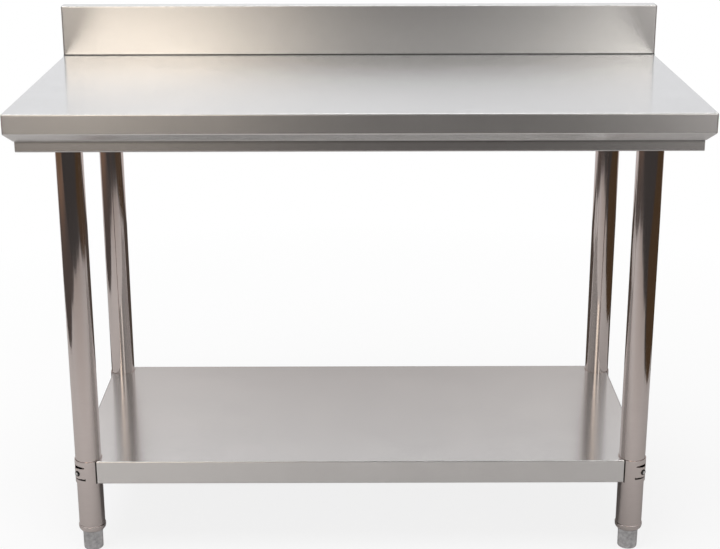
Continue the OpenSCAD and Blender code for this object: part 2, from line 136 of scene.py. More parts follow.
@dataclass
class Skin:
    """Grids and flat outlines that are welded into one mesh.

    Attributes:
        points: Blocks of places, each of shape (n, 3).
        quads: Blocks of four-sided faces, as indices into all the points.
        outlines: Flat faces with any number of corners.
        count: How many points are held so far.
    """

    points: list[np.ndarray] = field(default_factory=list)
    quads: list[np.ndarray] = field(default_factory=list)
    outlines: list[np.ndarray] = field(default_factory=list)
    count: int = 0

    def hold(self, places: np.ndarray) -> int:
        """Stores places.

        Args:
            places: Places in an array of any shape that ends in 3.

        Returns:
            Index of the first one.
        """
        first = self.count
        flat = places.reshape(-1, 3)
        self.points.append(flat)
        self.count += len(flat)
        return first

    def grid(self, places: np.ndarray, ring: bool = False, loop: bool = False,
             keep: np.ndarray | None = None) -> "Skin":
        """Adds a grid of four-sided faces.

        A face's normal is the way along its columns crossed with the way along its rows.

        Args:
            places: Grid of shape (rows, columns, 3).
            ring: Whether the last column joins the first.
            loop: Whether the last row joins the first.
            keep: Mask of the faces to keep, of shape (faces down, faces across).

        Returns:
            The skin itself.
        """
        rows, columns = places.shape[:2]
        index = self.hold(places) + np.arange(rows * columns).reshape(rows, columns)
        if ring:
            index = np.concatenate([index, index[:, :1]], axis=1)
        if loop:
            index = np.concatenate([index, index[:1]], axis=0)
        corners = (index[:-1, :-1], index[:-1, 1:], index[1:, 1:], index[1:, :-1])
        faces = np.stack(corners, axis=-1)
        self.quads.append(faces[keep] if keep is not None else faces.reshape(-1, 4))
        return self

    def outline(self, places: np.ndarray) -> None:
        """Adds one flat face that goes round the places in order."""
        self.outlines.append(self.hold(places) + np.arange(len(places)))

    def mesh(self, name: str) -> bpy.types.Mesh:
        """Welds the points and makes a smooth-shaded mesh.

        Points that share a place become one. A four-sided face with two corners on one
        place becomes a triangle, and one with fewer than three places is left out.

        Args:
            name: Name of the mesh.

        Returns:
            The new mesh.
        """
        places = np.concatenate(self.points)
        keys = np.round(places / WELD).astype(np.int64)
        _, first, merged = np.unique(keys, axis=0, return_index=True, return_inverse=True)
        merged = merged.reshape(-1)
        quads = merged[np.concatenate(self.quads)]
        doubled = quads == np.roll(quads, -1, axis=1)
        whole = quads[doubled.sum(axis=1) == 0]
        pinched = doubled.sum(axis=1) == 1
        triangles = quads[pinched][~doubled[pinched]].reshape(-1, 3)
        flats = [merged[outline].tolist() for outline in self.outlines]
        mesh = bpy.data.meshes.new(name)
        mesh.from_pydata(places[first].tolist(), [], whole.tolist() + triangles.tolist() + flats)
        mesh.polygons.foreach_set("use_smooth", np.ones(len(mesh.polygons), dtype=bool))
        mesh.validate()
        mesh.update()
        map_grain(mesh)
        return mesh

    def piece(self, name: str, material: Material, body: str, slot: Slot,
              node: str) -> bpy.types.Object:
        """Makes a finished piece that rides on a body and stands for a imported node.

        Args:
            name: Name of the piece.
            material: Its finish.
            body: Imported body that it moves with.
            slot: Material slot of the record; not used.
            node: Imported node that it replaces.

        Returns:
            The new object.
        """
        mesh = self.mesh(name)
        mesh.materials.append(material)
        piece = bpy.data.objects.new(name, mesh)
        bpy.context.scene.collection.objects.link(piece)
        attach(piece, body)
        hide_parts(node)
        LOG.info("%s rides on %s, %d faces", name, body, len(mesh.polygons))
        return piece


def map_grain(mesh: bpy.types.Mesh) -> None:
    """Adds a map whose first way runs across the grain of brushed sheet.

    The grain runs along X, so the first way is the sum of Y and Z and the second is X. On
    faces that look more along X than along Y the grain runs along Y, so the first way is Z
    and the second Y.

    Args:
        mesh: Mesh that gets the map.
    """
    corners = np.empty(len(mesh.loops), dtype=np.int32)
    mesh.loops.foreach_get("vertex_index", corners)
    places = np.empty(len(mesh.vertices) * 3)
    mesh.vertices.foreach_get("co", places)
    x, y, z = places.reshape(-1, 3)[corners].T
    normals = np.empty(len(mesh.polygons) * 3)
    mesh.polygons.foreach_get("normal", normals)
    sides = np.empty(len(mesh.polygons), dtype=np.int32)
    mesh.polygons.foreach_get("loop_total", sides)
    facing = np.abs(np.repeat(normals.reshape(-1, 3), sides, axis=0))
    sideways = facing[:, 0] > facing[:, 1] + facing[:, 2] / 2
    ways = np.stack([np.where(sideways, z, y + z), np.where(sideways, y, x)], axis=-1)
    layer = mesh.uv_layers.new(name=GRAIN_MAP)
    layer.uv.foreach_set("vector", ways.ravel())


def places_of(x: np.ndarray, y: np.ndarray, z: np.ndarray) -> np.ndarray:
    """Places from their three coordinates, each stretched to the common shape."""
    return np.stack(np.broadcast_arrays(x, y, z), axis=-1)


def around(centre: np.ndarray, radius: np.ndarray, angle: np.ndarray,
           height: np.ndarray) -> np.ndarray:
    """Places round a vertical axis: its centre plus the radius times cosine and sine."""
    return places_of(centre[0] + radius * np.cos(angle), centre[1] + radius * np.sin(angle), height)


def turn_places(count: int) -> np.ndarray:
    """Angles of evenly spread places round a full turn."""
    return np.linspace(0.0, FULL_TURN, count, endpoint=False)


def fold_line(path: Sequence[Sequence[float]], radii: Sequence[float],
              steps: int = FOLD_STEPS) -> np.ndarray:
    """Rounds the corners of an open line of straight runs.

    Each corner becomes an arc that touches both runs. The arc starts the radius times the
    tangent of half the turn before the corner, and a lead point stands just before and
    just after it.

    Args:
        path: Corners of the line, each of two numbers.
        radii: One radius for each inner corner.
        steps: Straight steps in each arc.

    Returns:
        The rounded line, of shape (n, 2).
    """
    line = np.asarray(path, dtype=float)
    runs = np.diff(line, axis=0)
    ways = runs / np.linalg.norm(runs, axis=1, keepdims=True)
    share = np.linspace(0.0, 1.0, steps + 1)[:, None]
    parts = [line[:1]]
    for corner, way_in, way_out, radius in zip(line[1:-1], ways[:-1], ways[1:], radii):
        turn = math.atan2(way_in[0] * way_out[1] - way_in[1] * way_out[0], way_in @ way_out)
        start = corner - way_in * radius * math.tan(abs(turn) / 2)
        spoke = math.copysign(radius, turn) * np.array([way_in[1], -way_in[0]])
        quarter = np.array([-spoke[1], spoke[0]])
        arc = start - spoke + np.cos(turn * share) * spoke + np.sin(turn * share) * quarter
        parts += [arc[:1] - way_in * LEAD, arc, arc[-1:] + way_out * LEAD]
    return np.concatenate(parts + [line[-1:]])


def lathe(profile: np.ndarray, centre: np.ndarray, count: int) -> np.ndarray:
    """Turns a profile of radius and height about a vertical axis.

    A point (r, z) becomes a ring of places at centre + r (cos a, sin a) and height z. A wall
    that the profile runs up faces outwards.

    Args:
        profile: Radius and height, of shape (n, 2).
        centre: Place of the axis.
        count: Places in each ring.

    Returns:
        Grid of shape (n, count, 3), whose columns close into rings.
    """
    return around(centre, profile[:, :1], turn_places(count), profile[:, 1:])


def give_wall(piece: bpy.types.Object, thickness: float, edge: float) -> None:
    """Gives a sheet its thickness behind the face that shows, and eases its cut edges.

    Args:
        piece: The face that shows.
        thickness: Thickness of the sheet.
        edge: Width of the eased edges.
    """
    wall = piece.modifiers.new("sheet_wall", "SOLIDIFY")
    wall.thickness = thickness
    wall.offset = -1.0
    wall.use_even_offset = True
    bevel = piece.modifiers.new("eased_edges", "BEVEL")
    bevel.width = edge
    bevel.segments = EDGE_STEPS
    bevel.limit_method = "ANGLE"
    bevel.angle_limit = EDGE_TURN
    bevel.harden_normals = True


# Finishes


class Shader:
    """Short calls for building a node tree."""

    # Sums on vectors whose result is a number
    NUMBER_SUMS = ("DOT_PRODUCT", "LENGTH", "DISTANCE")
    # Where a mix node has its two colours, and the mixed one
    COLOURS_IN = (6, 7)
    COLOUR_OUT = 2

    def __init__(self, tree: bpy.types.NodeTree) -> None:
        """Keeps the tree that the calls add to."""
        self.tree = tree

    def add(self, kind: str, **settings: object) -> bpy.types.Node:
        """Adds a node.

        Args:
            kind: Type of the node.
            settings: Its properties by name.

        Returns:
            The new node.
        """
        node = self.tree.nodes.new(kind)
        for name, value in settings.items():
            setattr(node, name, value)
        return node

    def join(self, source: Socket, target: Socket) -> None:
        """Links two sockets."""
        self.tree.links.new(source, target)

    def give(self, target: Socket, value: Socket | float) -> None:
        """Sets an input to a number, or links a socket to it.

        Args:
            target: The input.
            value: The number or the socket.
        """
        if isinstance(value, (int, float)):
            target.default_value = value
        else:
            self.join(value, target)

    def place(self) -> Socket:
        """Place on the object."""
        return self.add("ShaderNodeTexCoord").outputs["Object"]

    def along(self, axis: str) -> Socket:
        """Reads the place on the object along one axis.

        Args:
            axis: Name of the axis.

        Returns:
            The place along it.
        """
        node = self.add("ShaderNodeSeparateXYZ")
        self.join(self.place(), node.inputs[0])
        return node.outputs[axis]

    def vector(self, operation: str, first: Socket,
               second: Sequence[float] = (0.0, 0.0, 0.0)) -> Socket:
        """Joins a sum on vectors.

        Args:
            operation: Kind of sum.
            first: First vector.
            second: Second vector, which is fixed.

        Returns:
            The result.
        """
        node = self.add("ShaderNodeVectorMath", operation=operation)
        self.join(first, node.inputs[0])
        node.inputs[1].default_value = second
        return node.outputs["Value" if operation in self.NUMBER_SUMS else "Vector"]

    def math(self, operation: str, first: Socket, second: Socket | float = 0.0) -> Socket:
        """Joins a sum of one or two values.

        Args:
            operation: Kind of sum.
            first: First value.
            second: Second value, a socket or a number.

        Returns:
            The result.
        """
        node = self.add("ShaderNodeMath", operation=operation)
        self.join(first, node.inputs[0])
        self.give(node.inputs[1], second)
        return node.outputs[0]

    def spread(self, value: Socket, low: float, high: float, start: float = 0.0,
               end: float = 1.0) -> Socket:
        """Maps a value from one range to another, and holds it within that.

        Args:
            value: The value.
            low: What start becomes.
            high: What end becomes.
            start: Where the first range starts.
            end: Where it ends.

        Returns:
            The mapped value.
        """
        node = self.add("ShaderNodeMapRange")
        self.join(value, node.inputs["Value"])
        limits = {"From Min": start, "From Max": end, "To Min": low, "To Max": high}
        for name, number in limits.items():
            node.inputs[name].default_value = number
        return node.outputs["Result"]

    def blend(self, share: Socket, first: Sequence[float], second: Sequence[float]) -> Socket:
        """Mixes two colours.

        Args:
            share: Share of the second.
            first: First colour, linear.
            second: Second colour, linear.

        Returns:
            The mixed colour.
        """
        node = self.add("ShaderNodeMix", data_type="RGBA")
        self.join(share, node.inputs["Factor"])
        for index, colour in zip(self.COLOURS_IN, (first, second)):
            node.inputs[index].default_value = (*colour, 1.0)
        return node.outputs[self.COLOUR_OUT]

    def noise(self, vector: Socket, scale: float, detail: float) -> Socket:
        """Adds soft noise.

        Args:
            vector: Where it is read.
            scale: Patches in a unit of that vector.
            detail: Detail of their edges.

        Returns:
            The noise, from 0 to 1.
        """
        node = self.add("ShaderNodeTexNoise")
        self.join(vector, node.inputs["Vector"])
        node.inputs["Scale"].default_value = scale
        node.inputs["Detail"].default_value = detail
        return node.outputs["Fac"]

    def light(self, kind: str, colour: Sequence[float], strength: Socket | float = 1.0) -> Socket:
        """Adds a light of one colour.

        Args:
            kind: Type of an emission node, or of the world's background node.
            colour: Its colour, linear.
            strength: Its strength, a socket or a number.

        Returns:
            The light.
        """
        node = self.add(kind)
        node.inputs["Color"].default_value = (*colour, 1.0)
        self.give(node.inputs["Strength"], strength)
        return node.outputs[0]

    def mix(self, share: Socket, first: Socket, second: Socket) -> Socket:
        """Mixes two surfaces.

        Args:
            share: Share of the second.
            first: First surface.
            second: Second surface.

        Returns:
            The mixed surface.
        """
        node = self.add("ShaderNodeMixShader")
        for source, target in zip((share, first, second), node.inputs):
            self.join(source, target)
        return node.outputs[0]


class Coat(Shader):
    """Calls for building a new material round its Principled shader."""

    def __init__(self, name: str) -> None:
        """Makes the material.

        Args:
            name: Name of the material.
        """
        self.material = bpy.data.materials.new(name)
        self.material.use_nodes = True
        super().__init__(self.material.node_tree)
        self.principled = self.tree.nodes["Principled BSDF"]

    def fix(self, values: dict[str, object]) -> None:
        """Sets inputs of the Principled shader by name."""
        for name, value in values.items():
            self.principled.inputs[name].default_value = value

    def feed(self, name: str, source: Socket) -> None:
        """Links a socket to an input of the Principled shader."""
        self.join(source, self.principled.inputs[name])

    def darken(self, share: Socket) -> None:
        """Scales the colour that feeds the Principled shader.

        Args:
            share: Share of it that is left.
        """
        node = self.add("ShaderNodeVectorMath", operation="SCALE")
        self.join(self.principled.inputs["Base Color"].links[0].from_socket, node.inputs[0])
        self.join(share, node.inputs["Scale"])
        self.feed("Base Color", node.outputs[0])

    def show(self, surface: Socket) -> None:
        """Makes a surface the material's output."""
        self.join(surface, self.tree.nodes["Material Output"].inputs[0])


# Scale and detail of each noise in the surface group
SURFACE_NOISES = {"Grain": (1.0, 3.0), "Marks": (9.0, 4.0), "Waves": (3.2, 1.0)}
# Shares of grain and marks in the tone and gloss of a finish, and the span of their sum
GRAIN_SHARE, MARKS_SHARE = 0.65, 0.35
NOISE_SPAN = (0.3, 0.7)


def scaled(colour: Sequence[float], factor: float) -> tuple[float, ...]:
    """A colour made lighter or darker by a factor, held at 1."""
    return tuple(min(1.0, channel * factor) for channel in colour)


def surface_group() -> bpy.types.NodeTree:
    """Node group that gives each finish its fine grain, its handling marks and its waves.

    The grain is noise over the place times a scale for each axis, so a low scale along one
    axis draws it out into lines. The marks are coarse noise, and the waves coarser still.

    Returns:
        The group, with outputs Grain, Marks and Waves from 0 to 1.
    """
    name = "grain_marks_and_waves"
    if name in bpy.data.node_groups:
        return bpy.data.node_groups[name]
    tree = bpy.data.node_groups.new(name, "ShaderNodeTree")
    for given in ("Place", "Grain Scale"):
        tree.interface.new_socket(given, in_out="INPUT", socket_type="NodeSocketVector")
    for output in SURFACE_NOISES:
        tree.interface.new_socket(output, in_out="OUTPUT", socket_type="NodeSocketFloat")
    shader = Shader(tree)
    inputs = shader.add("NodeGroupInput")
    outputs = shader.add("NodeGroupOutput")
    stretch = shader.add("ShaderNodeVectorMath", operation="MULTIPLY")
    shader.join(inputs.outputs["Place"], stretch.inputs[0])
    shader.join(inputs.outputs["Grain Scale"], stretch.inputs[1])
    for output, (scale, detail) in SURFACE_NOISES.items():
        vector = stretch.outputs[0] if output == "Grain" else inputs.outputs["Place"]
        shader.join(shader.noise(vector, scale, detail), outputs.inputs[output])
    return tree


@dataclass(frozen=True)
class Finish:
    """What every finish shares: a name, a mean colour, gloss and a grain.

    Attributes:
        name: Name of the material.
        colour: Mean colour, linear.
        roughness: Mean roughness.
        metallic: 1 for bare metal and 0 for the rest.
        grain: Grain lines in a metre along X, Y and Z.
        tone: Share by which the grain lightens and darkens the colour.
        gloss: How far grain and marks move the roughness.
        relief: Depth of the grain.
        wave: Depth of the broad waves.
        brushed: How far the grain draws reflections out across itself, from 0 to 1.
    """

    name: str
    colour: Colour
    roughness: float
    metallic: float = 1.0
    grain: tuple[float, float, float] = (300.0, 300.0, 300.0)
    tone: float = 0.05
    gloss: float = 0.05
    relief: float = 0.002 * MM
    wave: float = 0.0
    brushed: float = 0.0

    def build(self) -> Material:
        """Makes the material.

        Returns:
            The material, with its colour, roughness and normal from the grain, marks and waves.
        """
        coat = Coat(self.name)
        coat.fix({"Metallic": self.metallic, "Anisotropic": self.brushed})
        if self.brushed:
            across = coat.add("ShaderNodeTangent", direction_type="UV_MAP", uv_map=GRAIN_MAP)
            coat.feed("Tangent", across.outputs[0])
        place = coat.place()
        group = coat.add("ShaderNodeGroup", node_tree=surface_group())
        coat.join(place, group.inputs["Place"])
        group.inputs["Grain Scale"].default_value = self.grain
        self.paint(coat, place, group)
        return coat.material

    def paint(self, coat: Coat, place: Socket, group: bpy.types.Node) -> None:
        """Joins the grain, marks and waves to the shader.

        Args:
            coat: The material.
            place: Place on the object; not used here.
            group: The grain, marks and waves.
        """
        grain, marks, waves = (group.outputs[name] for name in SURFACE_NOISES)
        mixed = coat.math("ADD", coat.math("MULTIPLY", grain, GRAIN_SHARE),
                          coat.math("MULTIPLY", marks, MARKS_SHARE))
        shade = coat.spread(mixed, 0.0, 1.0, *NOISE_SPAN)
        dark, light = (scaled(self.colour, factor) for factor in (1 - self.tone, 1 + self.tone))
        coat.feed("Base Color", coat.blend(shade, dark, light))
        dull, bright = self.roughness + self.gloss, self.roughness - self.gloss
        coat.feed("Roughness", coat.spread(mixed, dull, bright, *NOISE_SPAN))
        height = coat.math("MULTIPLY", grain, self.relief)
        if self.wave:
            height = coat.math("ADD", height, coat.math("MULTIPLY", waves, self.wave))
        bump = coat.add("ShaderNodeBump")
        bump.inputs["Distance"].default_value = 1.0
        coat.join(height, bump.inputs["Height"])
        coat.feed("Normal", bump.outputs["Normal"])


@dataclass(frozen=True)
class ShadedLineFinish(Finish):
    """A sheet darkened along one line parallel to X by painted shade, as in a fold's crease and under an
    overhang.

    Attributes:
        shade_line: Place of the line of painted shade in Y and Z.
        clear: Distances from it at which the painted shade starts to thin out and is gone.
        painted_shade: Share of the colour that is left on the line, under the painted shade.
    """

    shade_line: tuple[float, float] = (0.0, 0.0)
    clear: tuple[float, float] = (1.0 * MM, 2.0 * MM)
    painted_shade: float = 0.2

    def paint(self, coat: Coat, place: Socket, group: bpy.types.Node) -> None:
        """Paints shade: darkens the colour by the distance from the line, over the plain finish.

        Args:
            coat: The material.
            place: Place on the object.
            group: The grain, marks and waves.
        """
        super().paint(coat, place, group)
        across = coat.vector("MULTIPLY", place, (0.0, 1.0, 1.0))
        away = coat.vector("DISTANCE", across, (0.0, *self.shade_line))
        coat.darken(coat.spread(away, self.painted_shade, 1.0, *self.clear))


@dataclass(frozen=True)
class ClampFinish(Finish):
    """Metal at a clamp, with shade painted round the screw, under the bridge and where the lips end.

    The four clamps are mirror images, so the place is folded onto one of them by its distances
    from the table's middle. It is then taken from the point where the screw's axis meets the leg's.

    Attributes:
        turn: Heading of the screw, from the table's depth towards its end.
        side: How far out along that heading the bridge's side of the leg starts.
        ring: Distances from the screw's axis between which shade is painted.
        slit: Distances below the screw between which it lies.
        joint: Distance from a lip's end at which it is gone.
        soft: Width over which it thins out.
        painted_shade: Share of the colour that is left under the painted shade.
    """

    turn: float = BRIDGE_TURN
    side: float = 22.0 * MM
    ring: tuple[float, float] = (4.3 * MM, 5.4 * MM)
    slit: tuple[float, float] = (1.0, 1.0)
    joint: float = 0.01 * MM
    soft: float = 0.4 * MM
    painted_shade: float = 0.1

    def paint(self, coat: Coat, place: Socket, group: bpy.types.Node) -> None:
        """Darkens the colour where shade is painted, over the plain finish.

        The distance from the screw's axis is the root of the squared distance from the point
        less the squared way out along the axis. A lip ends where the line of its face cuts the
        collar's circle.

        Args:
            coat: The material.
            place: Place on the object.
            group: The grain, marks and waves.
        """
        super().paint(coat, place, group)
        low, high = extent("collar_back_right")
        leg = Corner.BACK_RIGHT.centre()
        folded = coat.vector("ABSOLUTE", place)
        off = coat.vector("SUBTRACT", folded, (*leg, (low[2] + high[2]) / 2))
        out = coat.vector("DOT_PRODUCT", off, (math.sin(self.turn), math.cos(self.turn), 0.0))
        drop = coat.vector("DOT_PRODUCT", off, (0.0, 0.0, -1.0))
        whole = coat.vector("LENGTH", off)
        radial = coat.math("SQRT", coat.math("SUBTRACT", coat.math("MULTIPLY", whole, whole),
                                             coat.math("MULTIPLY", out, out)))
        # Painted shade: a ring round the screw's axis, and a band below the screw under the bridge
        marks = [self.between(coat, radial, self.ring), self.between(coat, drop, self.slit)]
        outer = coat.spread(out, 0.0, 1.0, self.side - self.soft, self.side)
        painted_shade_mask = coat.math("MULTIPLY", coat.math("MAXIMUM", *marks), outer)
        # Painted shade where each lip's face ends against the collar
        face = extent("undershelf")[1][:2] - leg
        chord = -np.sqrt((leg[0] - low[0]) ** 2 - face ** 2)
        plan = coat.vector("MULTIPLY", off, (1.0, 1.0, 0.0))
        for end in ((chord[1], face[1], 0.0), (face[0], chord[0], 0.0)):
            away = coat.vector("DISTANCE", plan, end)
            lip_end = coat.spread(away, 1.0, 0.0, self.joint / 2, self.joint)
            painted_shade_mask = coat.math("MAXIMUM", painted_shade_mask, lip_end)
        coat.darken(coat.spread(painted_shade_mask, 1.0, self.painted_shade))

    def between(self, coat: Coat, value: Socket, limits: tuple[float, float]) -> Socket:
        """Marks where a value lies between two limits, with soft ends.

        Args:
            coat: The material.
            value: The value.
            limits: The two limits.

        Returns:
            1 between the limits and 0 outside them.
        """
        rise = coat.spread(value, 0.0, 1.0, limits[0] - self.soft, limits[0])
        fall = coat.spread(value, 1.0, 0.0, limits[1], limits[1] + self.soft)
        return coat.math("MULTIPLY", rise, fall)


@dataclass(frozen=True)
class SpangledFinish(Finish):
    """Hot-dip zinc, whose crystals differ in tone and gloss.

    Attributes:
        crystals: Crystals in a metre.
        tones: Factors of the colour on the darkest and the lightest crystal.
        dulling: What the glossiest and the dullest crystal add to the roughness.
    """

    crystals: float = 110.0
    tones: tuple[float, float] = (0.8, 1.12)
    dulling: tuple[float, float] = (-0.1, 0.12)

    def paint(self, coat: Coat, place: Socket, group: bpy.types.Node) -> None:
        """Gives each crystal its own tone and roughness, over the plain finish.

        Args:
            coat: The material.
            place: Place on the object.
            group: The grain, marks and waves.
        """
        super().paint(coat, place, group)
        cells = coat.add("ShaderNodeTexVoronoi")
        cells.inputs["Scale"].default_value = self.crystals
        coat.join(place, cells.inputs["Vector"])
        draw = coat.add("ShaderNodeSeparateColor")
        coat.join(cells.outputs["Color"], draw.inputs[0])
        dark, light = (scaled(self.colour, factor) for factor in self.tones)
        coat.feed("Base Color", coat.blend(draw.outputs[0], dark, light))
        limits = (self.roughness + change for change in self.dulling)
        coat.feed("Roughness", coat.spread(draw.outputs[1], *limits))


@dataclass(frozen=True)
class MottledFinish(Finish):
    """A moulded or pressed surface with two tones in soft patches.

    Attributes:
        second: The other tone, linear.
        patches: Patches in a metre.
        detail: Detail of the patches' edges.
        shares: Shares of patches and grain in the mix of the tones.
        span: Values of that mix at which only one of the tones is left.
    """

    second: Colour = (0.2, 0.2, 0.2)
    patches: float = 90.0
    detail: float = 3.0
    shares: tuple[float, float] = (0.7, 0.3)
    span: tuple[float, float] = (0.36, 0.64)

    def paint(self, coat: Coat, place: Socket, group: bpy.types.Node) -> None:
        """Mixes the two tones by patches and grain, over the plain finish.

        Args:
            coat: The material.
            place: Place on the object.
            group: The grain, marks and waves.
        """
        super().paint(coat, place, group)
        patch = coat.noise(place, self.patches, self.detail)
        mixed = coat.math("ADD", coat.math("MULTIPLY", patch, self.shares[0]),
                          coat.math("MULTIPLY", group.outputs["Grain"], self.shares[1]))
        share = coat.spread(mixed, 0.0, 1.0, *self.span)
        coat.feed("Base Color", coat.blend(share, self.second, self.colour))


BRUSHED = {"roughness": 0.22, "grain": (80.0, 600.0, 600.0), "gloss": 0.02, "relief": 0.0003 * MM,
           "brushed": 0.95}
POLISHED = {"colour": (0.67, 0.607, 0.585), "roughness": 0.09, "grain": (60.0, 60.0, 1500.0),
            "tone": 0.04, "gloss": 0.03, "relief": 0.001 * MM}
PLATED = {"colour": (0.82, 0.82, 0.82), "grain": (700.0, 700.0, 700.0), "tone": 0.06,
          "relief": 0.004 * MM}

FINISHES = {
    # The satin sheet has shade painted along the crease at the splashback's foot
    Slot.SATIN: ShadedLineFinish("satin_sheet", (0.765, 0.757, 0.751), **BRUSHED, tone=0.045,
                             wave=0.15 * MM, shade_line=(272.0 * MM, 850.0 * MM),
                             clear=(1.6 * MM, 2.8 * MM), painted_shade=0.1),
    Slot.POLISHED: Finish("polished_tube", **POLISHED),
    Slot.GALVANISED: SpangledFinish("galvanised_sheet", (0.56, 0.58, 0.60), 0.38),
    Slot.ZINC: Finish("zinc_plate", **PLATED, roughness=0.2, gloss=0.08),
    Slot.BOARD: MottledFinish("melamine_board", (0.40, 0.39, 0.37), 0.55, metallic=0.0,
                              grain=(700.0, 700.0, 700.0), relief=0.01 * MM,
                              second=(0.33, 0.325, 0.31), patches=260.0),
    Slot.NYLON: MottledFinish("moulded_nylon", (0.46, 0.445, 0.445), 0.55, metallic=0.0,
                              grain=(900.0, 900.0, 900.0), relief=0.02 * MM,
                              second=(0.26, 0.25, 0.25), patches=140.0),
}
# The rails are a darker copy of the satin sheet, which paints the shade under the return, with more shade
# painted along the top of the front rail
RAIL_FINISH = ShadedLineFinish("rail_sheet", (0.57, 0.56, 0.555), **BRUSHED, tone=0.04,
                           shade_line=(-283.6 * MM, 800.0 * MM), clear=(0.5 * MM, 5.0 * MM), painted_shade=0.5)
# Collars get shade painted round the screw, below the bridge and at the lips' ends; the screws get it
# painted over the outer part of the head
COLLAR_FINISH = ClampFinish("collar_sheet", **POLISHED, slit=(10.3 * MM, 14.4 * MM), joint=1.8 * MM)
SCREW_FINISH = ClampFinish("clamp_screw_plate", **PLATED, roughness=0.14, gloss=0.06,
                           ring=(3.3 * MM, 8.0 * MM))


# Sub-assemblies


@dataclass
class Worktop:
    """The folded top: rim on three sides, sloped return, splashback and its two end caps.

    Attributes:
        material: Finish of the sheet.
        sheet: Thickness of the sheet.
        fold: Inside radius of the folds.
        slope: Width and drop of the return under the rim.
        rim: Height of the upright rim.
        hem: Height of the hem behind the splashback.
        relief: Length of the notch in front of each end of the splashback's fold.
        corner: Radius of the rim's upright corners.
        corner_places: Places round each of those corners.
        cap_flange: Width of the flange on each end cap.
        gap: Gap between the sheet and the end caps.
        edge: Easing of cut edges.
        end_round: Radius by which the splashback turns back at its two ends.
        end_turn: Angle by which it turns back.
        end_places: Places round each of those turns.
    """

    material: Material
    sheet: float = 1.2 * MM
    fold: float = 2.0 * MM
    slope: float = 15.0 * MM
    rim: float = 35.0 * MM
    hem: float = 15.0 * MM
    relief: float = 5.0 * MM
    corner: float = 2.5 * MM
    corner_places: int = 7
    cap_flange: float = 12.0 * MM
    gap: float = 0.2 * MM
    edge: float = 0.25 * MM
    end_round: float = 2.6 * MM
    end_turn: float = math.radians(80)
    end_places: int = 6

    def __post_init__(self) -> None:
        """Reads the top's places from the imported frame."""
        low, high = extent("worktop")
        self.half_w, self.back, self.head = high
        self.front = low[1]
        self.level = mount_height("worktop_face")
        self.splash = extent("splash_cap_left")[0][1] - self.sheet - self.gap
        self.bend = self.fold + self.sheet
        self.strip = self.bend + 2 * LEAD
        self.notch = self.splash - self.relief
        self.turn_up = self.splash - self.fold - LEAD

    def rim_profile(self) -> np.ndarray:
        """Draws the rim from the flat top over its fold and down to the return's end.

        Returns:
            Inset from the edge and height, of shape (n, 2).
        """
        foot = self.level - self.rim
        path = [(self.strip, self.level), (0.0, self.level), (0.0, foot),
                (self.slope, foot - self.slope)]
        return fold_line(path, (self.bend, self.bend))

    def rim_path(self, inset: np.ndarray) -> np.ndarray:
        """Carries the rim round the left side, the front and the right side.

        At an inset u the path runs at half the width less u, and at the front plus u. Its two
        corners are arcs of the corner radius less u, which close to a mitre where u is larger.
        A lead point stands just before and just after each.

        Args:
            inset: Distance in from the edge, of shape (n,).

        Returns:
            Places on the plan, of shape (stations, n, 2).
        """
        radius = np.maximum(self.corner - inset, 0.0)
        reach = np.maximum(self.corner, inset)
        angle = np.linspace(0.0, QUARTER_TURN, self.corner_places)[:, None]
        sideways = self.half_w - reach + radius * np.cos(angle)
        sideways = np.concatenate([sideways[:1], sideways, sideways[-1:] - LEAD])
        deep = self.front + reach - radius * np.sin(angle)
        deep = np.concatenate([deep[:1] + LEAD, deep, deep[-1:]])
        right = np.stack([sideways[::-1], deep[::-1]], axis=-1)
        left = np.stack([-sideways, deep], axis=-1)
        end = np.stack([self.half_w - inset, np.full_like(inset, self.notch)], axis=-1)
        return np.concatenate([end[None] * [-1, 1], left, right, end[None]])

    def build(self) -> None:
        """Makes the top and its end caps."""
        skin = Skin()
        inner = self.half_w - self.strip
        start = self.front + self.strip
        inset, height = self.rim_profile().T
        plan = self.rim_path(inset)
        skin.grid(places_of(plan[..., 0], plan[..., 1], height))
        across = np.array([-inner, LEAD - inner, inner - LEAD, inner])
        deep = np.array([start, start + LEAD, self.notch, self.turn_up])[:, None]
        skin.grid(places_of(across, deep, self.level))
        self.splashback(skin)
        self.rear_rims(skin, inset, height)
        piece = skin.piece("worktop_sheet", self.material, TABLE_BODY, Slot.SATIN, "worktop")
        give_wall(piece, self.sheet, self.edge)
        for side in (-1, 1):
            self.end_cap(side)

    def splashback(self, skin: Skin) -> None:
        """Adds the splashback: a line up from the top, back over its head and down its hem.

        The line is carried along X. Near each end the sheet turns back by an arc: over the arc's
        angle the way along X grows by its sine, and the sheet falls behind its face by one less
        the cosine. That fall grows from nothing at the foot to the whole at the fold's end.

        Args:
            skin: Mesh of the top.
        """
        path = [(self.turn_up, self.level), (self.splash, self.level), (self.splash, self.head),
                (self.back, self.head), (self.back, self.head - self.hem)]
        line = fold_line(path, (self.fold, self.bend, self.bend))
        ways = np.gradient(line, axis=0)
        lengths = np.maximum(np.linalg.norm(ways, axis=1, keepdims=True), WELD)
        behind = np.stack([ways[:, 1], -ways[:, 0]], axis=-1) / lengths
        angle = np.linspace(0.0, self.end_turn, self.end_places)
        turned = self.half_w - self.end_round * (1 - np.sin(angle))
        fall = self.end_round * (1 - np.cos(angle))
        inner = self.half_w - self.strip - np.array([LEAD, 0.0])
        across = np.concatenate([-turned[::-1], -inner[::-1], inner, turned])
        sunk = np.concatenate([fall[::-1], np.zeros(2 * len(inner)), fall])
        share = np.clip((line[:, 1:] - self.level) / self.fold, 0.0, 1.0)
        deep = line[:, :1] + behind[:, :1] * share * sunk
        height = line[:, 1:] + behind[:, 1:] * share * sunk
        skin.grid(places_of(across, deep, height))

